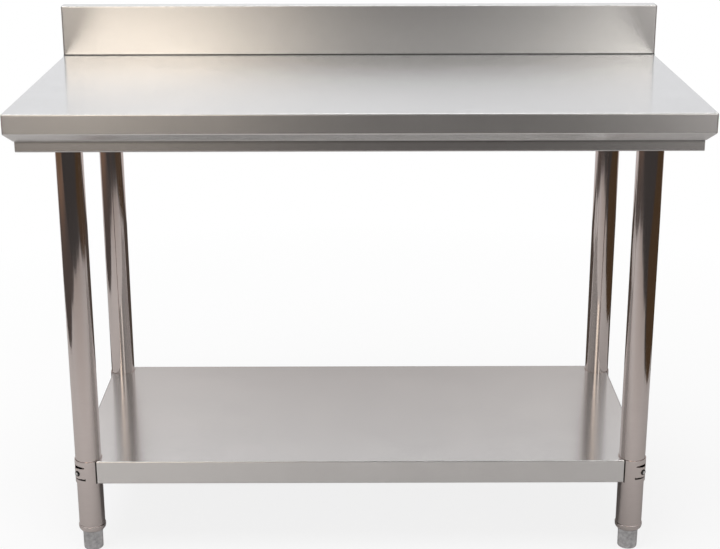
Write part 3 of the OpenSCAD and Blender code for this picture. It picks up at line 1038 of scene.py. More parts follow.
    def rear_rims(self, skin: Skin, inset: np.ndarray, height: np.ndarray) -> None:
        """Runs the upright part of the side rims on to the back, past the notch.

        Args:
            skin: Mesh of the top.
            inset: Distance in from the edge for each point of the rim's profile.
            height: Height of each point.
        """
        upright = np.flatnonzero(inset <= WELD)[0]
        low = inset[upright:], height[upright:]
        tall = np.concatenate([[0.0], low[0]]), np.concatenate([[self.level - self.gap], low[1]])
        for side in (-1, 1):
            for (away, rise), deep in ((low, (self.notch, self.turn_up)),
                                       (tall, (self.turn_up, self.back))):
                rows = np.array(deep)[::side, None]
                skin.grid(places_of(side * (self.half_w - away), rows, rise))

    def end_cap(self, side: int) -> None:
        """Makes one end cap: an upright plate with a flange folded in along its back.

        The plate's head drops at its two ends by an arc of the fold's radius, to clear the
        folds of the splashback.

        Args:
            side: -1 for the left cap and 1 for the right.
        """
        label = "left" if side < 0 else "right"
        node = f"splash_cap_{label}"
        low, high = extent(node)
        front, back = low[1], high[1]
        path = [(0.0, front), (0.0, front + self.fold), (0.0, back), (self.cap_flange, back)]
        inset, deep = fold_line(path, (0.0, self.fold + self.sheet / 2)).T
        ends = np.minimum(np.minimum(deep - front, back - deep), self.fold)
        drop = self.fold - np.sqrt(self.fold ** 2 - (self.fold - ends) ** 2)
        rise = np.stack([np.full_like(drop, low[2]), high[2] - drop])
        places = places_of(side * (self.half_w - inset), deep, rise)
        skin = Skin().grid(places if side > 0 else places[:, ::-1])
        piece = skin.piece(f"end_cap_{label}", self.material, TABLE_BODY, Slot.SATIN, node)
        give_wall(piece, self.sheet, self.edge)


@dataclass
class FoldedChannel:
    """A rail or stiffener: a folded section carried straight along X or Y.

    Attributes:
        node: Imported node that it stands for.
        material: Finish.
        slot: Material slot.
        body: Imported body.
        sheet: Thickness of the sheet.
        fold: Inside radius of the folds.
        edge: Easing of cut edges.
    """

    node: str
    material: Material
    slot: Slot
    body: str = TABLE_BODY
    sheet: float = 1.2 * MM
    fold: float = 1.5 * MM
    edge: float = 0.25 * MM

    @property
    def bend(self) -> float:
        """Outside radius of the folds."""
        return self.fold + self.sheet

    def carry(self, section: np.ndarray, ends: np.ndarray, along_x: bool) -> None:
        """Makes the piece from its section and where each point of the section ends.

        Args:
            section: Place across and height, of shape (n, 2), with the show face to its left.
            ends: First and last place along the run for each point, of shape (2, n).
            along_x: Whether the run is along X, with the section drawn in Y.
        """
        across, height = section.T
        plan = (ends, across) if along_x else (across, ends[::-1])
        skin = Skin().grid(places_of(*plan, height))
        name = f"{self.node}_channel"
        piece = skin.piece(name, self.material, self.body, self.slot, self.node)
        give_wall(piece, self.sheet, self.edge)


@dataclass
class RailFrame:
    """The four rails under the top and the hat stiffeners between them.

    Attributes:
        satin: Finish of the rails.
        galvanised: Finish of the stiffeners.
        gap: Gap where pieces seat on one another.
        hat_flange: Width of a stiffener's flanges.
    """

    satin: Material
    galvanised: Material
    gap: float = 0.2 * MM
    hat_flange: float = 20.0 * MM

    def build(self) -> None:
        """Makes the rails, then the stiffeners."""
        for place in ("front", "back", "left", "right"):
            self.rail(f"apron_{place}", along_x=place in ("front", "back"))
        for place in ("left", "middle", "right"):
            node = f"top_stiffener_{place}"
            hat_channel(node, self.galvanised, TABLE_BODY, self.hat_flange, along_x=False)

    def rail(self, node: str, along_x: bool) -> None:
        """Makes one rail: a web with two flanges turned in, which stop short at the corners.

        Args:
            node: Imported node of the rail.
            along_x: Whether it runs along X.
        """
        channel = FoldedChannel(node, self.satin, Slot.SATIN)
        low, high = extent(node)
        run, side = (0, 1) if along_x else (1, 0)
        outward = 1.0 if low[side] > 0 else -1.0
        flange = high[side] - low[side]
        path = [(flange, low[2]), (0.0, low[2]), (0.0, high[2]), (flange, high[2])]
        depth, height = fold_line(path, (channel.bend, channel.bend)).T
        web = high[side] if outward > 0 else low[side]
        section = np.stack([web - outward * depth, height], axis=-1)
        short = channel.sheet + self.gap if along_x else flange - channel.sheet
        stop = np.where(depth > channel.bend, short, 0.0)
        ends = np.stack([low[run] + stop, high[run] - stop])
        channel.carry(section, ends if outward > 0 else ends[::-1], along_x)


def hat_channel(node: str, material: Material, body: str, flange: float, along_x: bool) -> None:
    """Makes a hat stiffener: two flanges with a channel that hangs between them.

    Args:
        node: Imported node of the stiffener.
        material: Finish.
        body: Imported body.
        flange: Width of each flange, beyond the channel's wall.
        along_x: Whether it runs along X.
    """
    channel = FoldedChannel(node, material, Slot.GALVANISED, body)
    low, high = extent(node)
    run, side = (0, 1) if along_x else (1, 0)
    wall, floor = flange + channel.sheet, low[2] + channel.sheet
    first, last = low[side], high[side]
    path = [(first, high[2]), (first + wall, high[2]), (first + wall, floor),
            (last - wall, floor), (last - wall, high[2]), (last, high[2])]
    section = fold_line(path, (channel.bend, channel.fold, channel.fold, channel.bend))
    ends = np.stack([np.full(len(section), high[run]), np.full(len(section), low[run])])
    channel.carry(section, ends, along_x)


@dataclass
class Legs:
    """The four polished tubes.

    Attributes:
        material: Finish of the tube.
        wall: Wall of the tube.
        edge: Radius at the tube's cut ends.
        edge_places: Places round each of those edges.
        sides: Places round the tube.
    """

    material: Material
    wall: float = 1.2 * MM
    edge: float = 0.35 * MM
    edge_places: int = 4
    sides: int = 128

    def build(self) -> None:
        """Makes one tube at each corner."""
        for corner in Corner:
            self.tube(corner)

    def tube(self, corner: Corner) -> None:
        """Turns the tube's wall, up its outside and down its inside, with rounded ends.

        A lead point stands inside each end of the outside.

        Args:
            corner: Where the leg stands.
        """
        node = corner.named("leg")
        low, high = extent(node)
        foot, top, edge = low[2], high[2], self.edge
        outside = half_width(node)
        inside = outside - self.wall
        quarter = np.linspace(0.0, QUARTER_TURN, self.edge_places)
        swell, sink = np.sin(quarter) * edge, (1 - np.cos(quarter)) * edge
        leads = np.array([foot + edge + LEAD, top - edge - LEAD])
        runs = [(outside - edge + swell, foot + sink), (np.full_like(leads, outside), leads),
                (outside - sink, top - edge + swell), (inside + edge - swell, top - sink),
                (inside + sink, foot + edge - swell)]
        profile = np.concatenate([np.stack(run, axis=-1) for run in runs])
        skin = Skin().grid(lathe(profile, corner.centre(), self.sides), ring=True, loop=True)
        skin.piece(corner.named("leg_tube"), self.material, TABLE_BODY, Slot.POLISHED, node)


@dataclass
class Feet:
    """The bell inserts under the tubes, the moulded feet and their threaded studs.

    Attributes:
        polished: Finish of the inserts.
        nylon: Finish of the feet.
        zinc: Finish of the studs.
        plug: Radius of the insert's plug in the tube.
        bell: Height of the bell below the tube.
        bell_curve: Height of the bell's curved lower part.
        bell_places: Places up that curve.
        lip: Radius of the bell's upper edge.
        seat_gap: Gap between the bell and the tube.
        bore: Radius of the hole for the stud.
        plug_wall: Wall of the plug.
        plug_floor: Height of the plug's floor above the tube's end.
        boss_wall: Wall of the boss round the stud.
        plug_edge: Radius of the insert's other edges.
        plug_round: Radius at the plug's outer end and in the corners of its floor.
        base: Radius of the foot at the floor.
        belly: Largest radius of the foot.
        belly_height: Height of the belly above the floor.
        flats: Distance from the foot's axis to each flat.
        flat_count: How many flats it has.
        flat_soft: Width over which flats and cone run into each other.
        flat_fade: Height over which the flats fade out.
        flat_clear: How far beyond the foot's top they have gone by then.
        round_edge: Radius under the foot's base.
        belly_round: Radius up its belly.
        top_round: Radius round its top.
        hole_round: Radius at the mouth and the root of its hole.
        foot_steps: Steps in each of those rounds.
        foot_rows: Rows up the foot besides those of its rounds.
        collar: Height of the round collar above the flats.
        stud_fit: Gap round the stud in the foot.
        pitch: Pitch of the thread.
        thread: Depth of the thread.
        thread_rows: Rows in each turn of the thread.
        stud_taper: Taper at the stud's upper end, as a share of its radius.
        stud_sides: Places round the stud.
        sides: Places round the other pieces.
    """

    polished: Material
    nylon: Material
    zinc: Material
    plug: float = 22.7 * MM
    bell: float = 12.0 * MM
    bell_curve: float = 8.0 * MM
    bell_places: int = 13
    lip: float = 1.25 * MM
    seat_gap: float = 0.1 * MM
    bore: float = 5.3 * MM
    plug_wall: float = 2.5 * MM
    plug_floor: float = 6.0 * MM
    boss_wall: float = 4.0 * MM
    plug_edge: float = 0.3 * MM
    plug_round: float = 1.0 * MM
    base: float = 17.9 * MM
    belly: float = 18.37 * MM
    belly_height: float = 7.0 * MM
    flats: float = 18.0 * MM
    flat_count: int = 6
    flat_soft: float = 0.35 * MM
    flat_fade: float = 0.8 * MM
    flat_clear: float = 1.0 * MM
    round_edge: float = 4.0 * MM
    belly_round: float = 20.0 * MM
    top_round: float = 0.8 * MM
    hole_round: float = 0.4 * MM
    foot_steps: int = 10
    foot_rows: int = 60
    collar: float = 4.0 * MM
    stud_fit: float = 0.1 * MM
    pitch: float = 1.5 * MM
    thread: float = 0.9 * MM
    thread_rows: int = 6
    stud_taper: float = 0.25
    stud_sides: int = 32
    sides: int = 96

    def build(self) -> None:
        """Makes the insert, the foot and the stud at each corner."""
        for corner in Corner:
            self.insert(corner)
            self.foot(corner)
            self.stud(corner)

    def insert(self, corner: Corner) -> None:
        """Turns the bell and plug: out under the bell, round it, in under the tube and up.

        The bell's lower part is a quarter of an ellipse: its radius grows by the sine of the
        angle and its height by one less the cosine.

        Args:
            corner: Where the leg stands.
        """
        node = corner.named("foot_insert")
        low, high = extent(node)
        under, top = low[2], high[2]
        wide, neck = half_width(node), half_width(corner.named("foot"))
        seat = under + self.bell - self.seat_gap
        quarter = np.linspace(0.0, QUARTER_TURN, self.bell_places)
        curve = np.stack([neck + (wide - neck) * np.sin(quarter),
                          under + self.bell_curve * (1 - np.cos(quarter))], axis=-1)
        hollow, boss = self.plug - self.plug_wall, self.bore + self.boss_wall
        floor = seat + self.plug_floor
        path = [(wide, under + self.bell_curve), (wide, seat), (self.plug, seat), (self.plug, top),
                (hollow, top), (hollow, floor), (boss, floor), (boss, top), (self.bore, top),
                (self.bore, under)]
        edge, soft = self.plug_edge, self.plug_round
        shoulder = fold_line(path, (self.lip, edge, soft, edge, soft, soft, edge, edge))
        profile = np.concatenate([curve, shoulder[1:]])
        skin = Skin().grid(lathe(profile, corner.centre(), self.sides), ring=True, loop=True)
        skin.piece(corner.named("bell_insert"), self.polished, TABLE_BODY, Slot.POLISHED, node)

    def foot(self, corner: Corner) -> None:
        """Makes the moulded foot: a cone cut by six flats.

        The radius is the smaller of the cone's, at that height, and the flat's, which is the
        distance to the flats over the cosine of the angle from the flat's middle. The two
        run into each other softly, and the flats fade out below the collar.

        Args:
            corner: Where the leg stands.
        """
        node = corner.named("foot")
        low, high = extent(node)
        top, tall = half_width(node), high[2] - low[2]
        stud = corner.named("foot_stud")
        hole = half_width(stud) + self.stud_fit
        root = extent(stud)[0][2] - low[2] - self.stud_fit
        path = [(0.0, 0.0), (self.base, 0.0), (self.belly, self.belly_height), (top, tall),
                (hole, tall), (hole, root), (0.0, root)]
        radii = (self.round_edge, self.belly_round, self.top_round, self.hole_round, self.hole_round)
        rounded = fold_line(path, radii, self.foot_steps)
        runs = np.linalg.norm(np.diff(rounded, axis=0), axis=1)
        lengths = np.concatenate([[0.0], np.cumsum(runs)])
        rows = np.unique(np.concatenate([lengths, np.linspace(0.0, lengths[-1], self.foot_rows)]))
        cone, height = (np.interp(rows, lengths, way)[:, None] for way in rounded.T)
        angle = turn_places(self.sides)
        sector = FULL_TURN / self.flat_count
        across = np.mod(angle - corner.diagonal, sector) - sector / 2
        fade = np.clip((height - (tall - self.collar)) / self.flat_fade, 0.0, 1.0)
        flat = self.flats / np.cos(across) + fade * (top - self.flats + self.flat_clear)
        share = np.clip(0.5 + 0.5 * (flat - cone) / self.flat_soft, 0.0, 1.0)
        radius = flat * (1 - share) + cone * share - self.flat_soft * share * (1 - share)
        radius = np.where(cone <= WELD, 0.0, np.maximum(radius, 0.0))
        skin = Skin().grid(around(corner.centre(), radius, angle, low[2] + height), ring=True)
        name = corner.named("levelling_foot")
        skin.piece(name, self.nylon, name, Slot.NYLON, node)

    def stud(self, corner: Corner) -> None:
        """Makes the stud with its thread.

        The radius falls from the crest by the thread's depth times a triangle wave of the
        height over the pitch less the share of a turn, which winds it into a helix. The depth
        fades to nothing at both ends, where the stud closes to its axis.

        Args:
            corner: Where the leg stands.
        """
        node = corner.named("foot_stud")
        low, high = extent(node)
        foot, top = low[2], high[2]
        crest = half_width(node)
        taper = crest * self.stud_taper
        rows = int(self.thread_rows * (top - foot) / self.pitch)
        height = np.linspace(foot, top, rows)[:, None]
        angle = turn_places(self.stud_sides)
        wave = np.abs(2 * np.mod(height / self.pitch - angle / FULL_TURN, 1.0) - 1)
        ends = np.clip(np.minimum(height - foot, top - height) / self.pitch, 0.0, 1.0)
        point = np.clip(1 - (top - height) / taper, 0.0, 1.0) * taper
        centre = corner.centre()
        wall = around(centre, crest - self.thread * wave * ends - point, angle, height)
        tips = [np.broadcast_to([*centre, z], (1, self.stud_sides, 3)) for z in (foot, top)]
        skin = Skin().grid(np.concatenate([tips[0], wall, tips[1]]), ring=True)
        skin.piece(corner.named("threaded_stud"), self.zinc, corner.named("levelling_foot"),
                   Slot.ZINC, node)


@dataclass
class Undershelf:
    """The shelf pan with its lips, and the stiffener under it.

    Attributes:
        satin: Finish of the pan.
        galvanised: Finish of the stiffener.
        sheet: Thickness of the pan.
        fold: Inside radius of its folds.
        lip_return: Width of the return under each lip.
        clearance: Gap between the pan and the collars.
        lip_gap: How much further the ends of the lips' faces keep off the collars.
        notch_places: Places round each notch.
        hat_flange: Width of the stiffener's flanges.
        edge: Easing of cut edges.
    """

    satin: Material
    galvanised: Material
    sheet: float = 1.0 * MM
    fold: float = 1.5 * MM
    lip_return: float = 12.0 * MM
    clearance: float = 0.2 * MM
    lip_gap: float = 1.2 * MM
    notch_places: int = 33
    hat_flange: float = 20.0 * MM
    edge: float = 0.2 * MM

    def __post_init__(self) -> None:
        """Reads the shelf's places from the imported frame."""
        low, high = extent("undershelf")
        self.half, self.level, self.foot = high[:2], high[2], low[2]
        self.leg = Corner.BACK_RIGHT.centre()
        self.notch = self.leg[0] - extent("collar_back_right")[0][0] + self.clearance
        self.bend = self.fold + self.sheet
        self.start = self.bend + 2 * LEAD

    def build(self) -> None:
        """Makes the pan: a flat with four round notches, and a lip along each side."""
        path = [(self.start, self.level), (0.0, self.level), (0.0, self.foot),
                (self.lip_return, self.foot)]
        inset, height = fold_line(path, (self.bend, self.bend)).T
        skin = Skin()
        skin.outline(self.flat())
        for axis in (0, 1):
            for side in (-1, 1):
                skin.grid(self.lip(axis, side, inset, height))
        piece = skin.piece("undershelf_pan", self.satin, SHELF_BODY, Slot.SATIN, "undershelf")
        give_wall(piece, self.sheet, self.edge)
        hat_channel("shelf_stiffener", self.galvanised, SHELF_BODY, self.hat_flange, along_x=True)

    def reach(self, inset: np.ndarray, axis: int) -> np.ndarray:
        """Where a lip ends beside the collar: the leg's place less the chord of the notch's circle.

        Towards the lip's face the end keeps off by a further gap.

        Args:
            inset: Distance in from the lip's face.
            axis: Axis that the lip runs along.

        Returns:
            Distance from the middle to the lip's end.
        """
        off = self.half[1 - axis] - self.leg[1 - axis] - inset
        further = self.lip_gap * np.clip(1 - inset / self.start, 0.0, 1.0)
        return self.leg[axis] - np.sqrt(self.notch ** 2 - off ** 2) - further

    def lip(self, axis: int, side: int, inset: np.ndarray, height: np.ndarray) -> np.ndarray:
        """Carries the lip's profile along one side.

        Args:
            axis: Axis that the lip runs along.
            side: Which of the two sides, -1 or 1.
            inset: Distance in from the lip's face.
            height: Height of each point.

        Returns:
            Grid of shape (n, 2, 3), whose normals face out.
        """
        order = side if axis == 0 else -side
        along = self.reach(inset, axis)[:, None] * np.array([-order, order])
        across = side * (self.half[1 - axis] - inset)[:, None]
        plan = (along, across) if axis == 0 else (across, along)
        return places_of(*plan, height[:, None])

    def flat(self) -> np.ndarray:
        """Outline of the flat, anticlockwise: four edges, and the arc of a notch between each two.

        Returns:
            Places of shape (n, 3).
        """
        inset = np.array([self.start])
        first = np.array([self.reach(inset, 0)[0], self.half[1] - self.start]) - self.leg
        last = np.array([self.half[0] - self.start, self.reach(inset, 1)[0]]) - self.leg
        start, end = (math.atan2(y, x) for x, y in (first, last))
        angle = np.linspace(start, end + FULL_TURN, self.notch_places)
        arc = self.leg + self.notch * np.stack([np.cos(angle), np.sin(angle)], axis=-1)
        plan = np.concatenate([arc[::-1], arc * [-1, 1], arc[::-1] * [-1, -1], arc * [1, -1]])
        return places_of(*plan.T, self.level)


@dataclass
class Collars:
    """The collars round the legs and the clamp screws in their bridges.

    Attributes:
        polished: Finish of the collars.
        zinc: Finish of the screws.
        wall: Wall of a collar.
        bridge_angle: Half angle that a bridge spans.
        bridge_turn: Heading of a bridge, from the table's depth towards its end.
        bridge: Height of a bridge.
        bridge_places: Places along a bridge.
        ring_places: Places along the rest of the collar.
        rise: Rise of the bridge above the collar.
        slit: Height of the slit above and below a bridge.
        screw: Diameter of a screw's shank.
        head: Diameter of a screw's head.
        head_height: Height of a screw's head.
        dome: Height of the dome on the head.
        arm: Half width of the recess's arms, as a share of the head.
        arm_length: Length of each arm, as a share of the head.
        recess: Depth of the recess.
        recess_soft: Width of the walls along its arms.
        arm_soft: Width of the walls at the arms' ends.
        face_rings: Rings of places on the head's face.
        screw_sides: Places round a screw.
        gap: Gap under a screw's head.
        edge: Easing of cut edges.
    """

    polished: Material
    zinc: Material
    wall: float = 1.5 * MM
    bridge_angle: float = math.radians(28)
    bridge_turn: float = BRIDGE_TURN
    bridge: float = 20.0 * MM
    bridge_places: int = 25
    ring_places: int = 73
    rise: float = 3.2 * MM
    slit: float = 3.0 * MM
    screw: float = 5.0 * MM
    head: float = 9.0 * MM
    head_height: float = 2.4 * MM
    dome: float = 0.8 * MM
    arm: float = 1 / 11
    arm_length: float = 1 / 3.4
    recess: float = 1.3 * MM
    recess_soft: float = 0.25 * MM
    arm_soft: float = 0.75 * MM
    face_rings: int = 22
    screw_sides: int = 48
    gap: float = 0.2 * MM
    edge: float = 0.25 * MM

    def __post_init__(self) -> None:
        """Reads a collar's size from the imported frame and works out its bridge.

        The bridge is an arc through the collar's face at both ends of the span and through its
        own crown, so its middle and radius follow from those three points.
        """
        low, high = extent("collar_front_left")
        self.foot, self.top = low[2], high[2]
        self.radius = high[0] - Corner.FRONT_LEFT.centre()[0]
        self.middle = (self.foot + self.top) / 2
        self.crown = self.radius + self.rise
        ends = self.radius * math.cos(self.bridge_angle)
        self.bridge_mid = (self.crown ** 2 - self.radius ** 2) / (2 * (self.crown - ends))
        self.bridge_radius = self.crown - self.bridge_mid

    def build(self) -> None:
        """Makes the four collars, then the screws."""
        for corner in Corner:
            self.ring(corner)
        skin = Skin()
        for corner in Corner:
            self.clamp_screw(skin, corner)
        skin.piece("pan_head_screws", self.zinc, SHELF_BODY, Slot.ZINC, "clamp_screws")

    def heading(self, corner: Corner) -> float:
        """Heading of a collar's bridge, in radians."""
        _, side, end = corner.value
        return math.atan2(end * math.cos(self.bridge_turn), side * math.sin(self.bridge_turn))

    def ring(self, corner: Corner) -> None:
        """Makes one collar on a grid of height and angle, with two slits left out.

        The radius is the collar's, but within the bridge's height and angle it is the distance
        to the bridge's own arc.

        Args:
            corner: Where the leg stands.
        """
        half, span = self.bridge / 2, self.bridge_angle
        steps = np.array([-half - self.slit, -half, 0.0, half, half + self.slit])
        levels = np.concatenate([[self.foot], self.middle + steps, [self.top]])
        angle = np.concatenate([np.linspace(-span, span, self.bridge_places),
                                np.linspace(span, FULL_TURN - span, self.ring_places)[1:-1]])
        over = np.abs(angle) <= span + WELD
        arc = self.bridge_mid * np.cos(angle) + np.sqrt(
            np.maximum(self.bridge_radius ** 2 - (self.bridge_mid * np.sin(angle)) ** 2, 0.0))
        raised = np.abs(levels - self.middle) <= half + WELD
        radius = np.where(raised[:, None] & over, arc, self.radius)
        heading = angle + self.heading(corner)
        places = around(corner.centre(), radius, heading, levels[:, None])
        # The slits are the second row of faces and the last but one
        keep = np.ones((len(levels) - 1, len(angle)), dtype=bool)
        keep[[1, -2], :self.bridge_places - 1] = False
        skin = Skin().grid(places, ring=True, keep=keep)
        piece = skin.piece(corner.named("clamp_collar"), self.polished, SHELF_BODY, Slot.POLISHED,
                           corner.named("collar"))
        give_wall(piece, self.wall, self.edge)

    def clamp_screw(self, skin: Skin, corner: Corner) -> None:
        """Adds one screw: its shank, and a domed head with a cross recess.

        The head's face falls by the dome's height times the cube of the share of its radius. The
        recess sinks it where the place lies within half an arm's width of one of two crossing
        lines and within an arm's length of their middle, with soft walls.

        Args:
            skin: Mesh that holds all the screws.
            corner: Where the leg stands.
        """
        seat, shank, head = self.crown + self.gap, self.screw / 2, self.head / 2
        tip, face = self.radius - self.wall, seat + self.head_height
        angle = turn_places(self.screw_sides)
        share = np.linspace(1.0, 0.0, self.face_rings)[:, None]
        side = np.array([(0.0, tip), (shank, tip), (shank, seat), (head, seat),
                         (head, face - self.dome)])
        across, up = np.abs(head * share * np.cos(angle)), np.abs(head * share * np.sin(angle))
        arm, reach = self.head * self.arm, self.head * self.arm_length
        sunk = np.clip((arm - np.minimum(across, up)) / self.recess_soft + 0.5, 0, 1)
        sunk *= np.clip((reach - np.maximum(across, up)) / self.arm_soft + 0.5, 0, 1)
        radius = np.concatenate([side[:, :1], head * share])
        out = np.concatenate([np.broadcast_to(side[:, 1:], (len(side), len(angle))),
                              face - self.dome * share ** 3 - self.recess * sunk])
        centre, turn = corner.centre(), self.heading(corner)
        sideways, upward = radius * np.cos(angle), radius * np.sin(angle)
        skin.grid(places_of(centre[0] + out * math.cos(turn) - sideways * math.sin(turn),
                            centre[1] + out * math.sin(turn) + sideways * math.cos(turn),
                            self.middle + upward), ring=True)


@dataclass
class HiddenPieces:
    """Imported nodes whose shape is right, which stay and get a finish.

    Attributes:
        finishes: Finish of each slot.
    """

    finishes: dict[Slot, Material]

    def dress(self) -> None:
        """Puts the finish of its slot on each node that stays."""
        stays = {Slot.BOARD: ["core_board"],
                 Slot.GALVANISED: [corner.named("leg_socket") for corner in Corner],
                 Slot.ZINC: ["socket_set_screws", "frame_screws", "clamp_nuts"]}
        for slot, nodes in stays.items():
            for node in nodes:
                for holder in frame["nodes"][node].material_slots:
                    holder.material = self.finishes[slot]
                LOG.info("%s keeps its packed shape", node)


# Studio

WHITE = (1.0, 1.0, 1.0)
BLACK = (0.0, 0.0, 0.0)
MATTE = {"Roughness": 0.9, "Specular IOR Level": 0.0}


@dataclass(frozen=True)
class Pool:
    """A pool of light on a card.

    Attributes:
        middle: Its middle along X.
        width: Distance from the middle at which it has fallen to 1/e.
        colour: Colour it adds in the middle, linear.
    """

    middle: float
    width: float
    colour: Colour


@dataclass(frozen=True)
class Card:
    """A flat card out of view, which shows only in the metal.

    Attributes:
        name: Name of the card.
        tone: Its material.
        plan: Its corners on the floor plan, or the two ends of an upright card.
        low: Height of a level card, or of an upright card's foot.
        high: Height of an upright card's head.
    """

    name: str
    tone: Material
    plan: Sequence[tuple[float, float]]
    low: float
    high: float | None = None

    def build(self) -> None:
        """Makes the card and hides it from the camera and from plain surfaces."""
        corners = [(*place, self.low) for place in self.plan]
        if self.high is not None:
            corners += [(*place, self.high) for place in self.plan[::-1]]
        card = stage_sheet(self.name, corners, self.tone)
        card.visible_camera = False
        card.visible_diffuse = False
        card.visible_shadow = False


def rectangle(left: float, right: float, near: float, far: float) -> list[tuple[float, float]]:
    """Corners of a rectangle on the floor plan."""
    return [(left, near), (right, near), (right, far), (left, far)]


def stage_sheet(name: str, corners: Sequence[Sequence[float]], material: Material) -> bpy.types.Object:
    """Makes a flat sheet of the stage.

    Args:
        name: Name of the sheet.
        corners: Its corners, in order.
        material: Its material.

    Returns:
        The new object.
    """
    mesh = bpy.data.meshes.new(name)
    mesh.from_pydata([tuple(corner) for corner in corners], [], [tuple(range(len(corners)))])
    mesh.materials.append(material)
    sheet = bpy.data.objects.new(name, mesh)
    bpy.context.scene.collection.objects.link(sheet)
    return sheet


def even_tone(name: str, colour: Colour) -> Material:
    """Makes an even tone for a card, which glows at just that level.

    Args:
        name: Name of the material.
        colour: The level, linear.

    Returns:
        The material.
    """
    coat = Coat(name)
    coat.fix({**MATTE, "Base Color": (*BLACK, 1.0), "Emission Color": (*colour, 1.0),
              "Emission Strength": 1.0})
    return coat.material


def lit_tone(name: str, close: Colour, far: Colour, fade: tuple[float, float]) -> Material:
    """A tone for a card that the lamp lights, which changes towards the camera.

    Args:
        name: Name of the material.
        close: Colour by the table, linear.
        far: Colour by the camera, linear.
        fade: Places along Y between which the one changes into the other.

    Returns:
        The material.
    """
    coat = Coat(name)
    coat.fix(MATTE)
    share = coat.spread(coat.along("Y"), 0.0, 1.0, *fade)
    coat.feed("Base Color", coat.blend(share, far, close))
    return coat.material


def pooled_tone(name: str, level: Colour, *pools: Pool) -> Material:
    """A tone for a card that glows: an even level with pools of light on it.

    A pool adds its colour times e to the power of minus the square of the distance along X
    from its middle over its width.

    Args:
        name: Name of the material.
        level: The even level, linear.
        pools: The pools of light.

    Returns:
        The material.
    """
    coat = Coat(name)
    along = coat.along("X")
    whole = coat.light("ShaderNodeEmission", level)
    for pool in pools:
        off = coat.math("DIVIDE", coat.math("SUBTRACT", along, pool.middle), pool.width)
        fall = coat.math("MULTIPLY", coat.math("MULTIPLY", off, off), -1.0)
        light = coat.light("ShaderNodeEmission", pool.colour, coat.math("EXPONENT", fall))
        both = coat.add("ShaderNodeAddShader")
        coat.join(whole, both.inputs[0])
        coat.join(light, both.inputs[1])
        whole = both.outputs[0]
    coat.show(whole)
    return coat.material


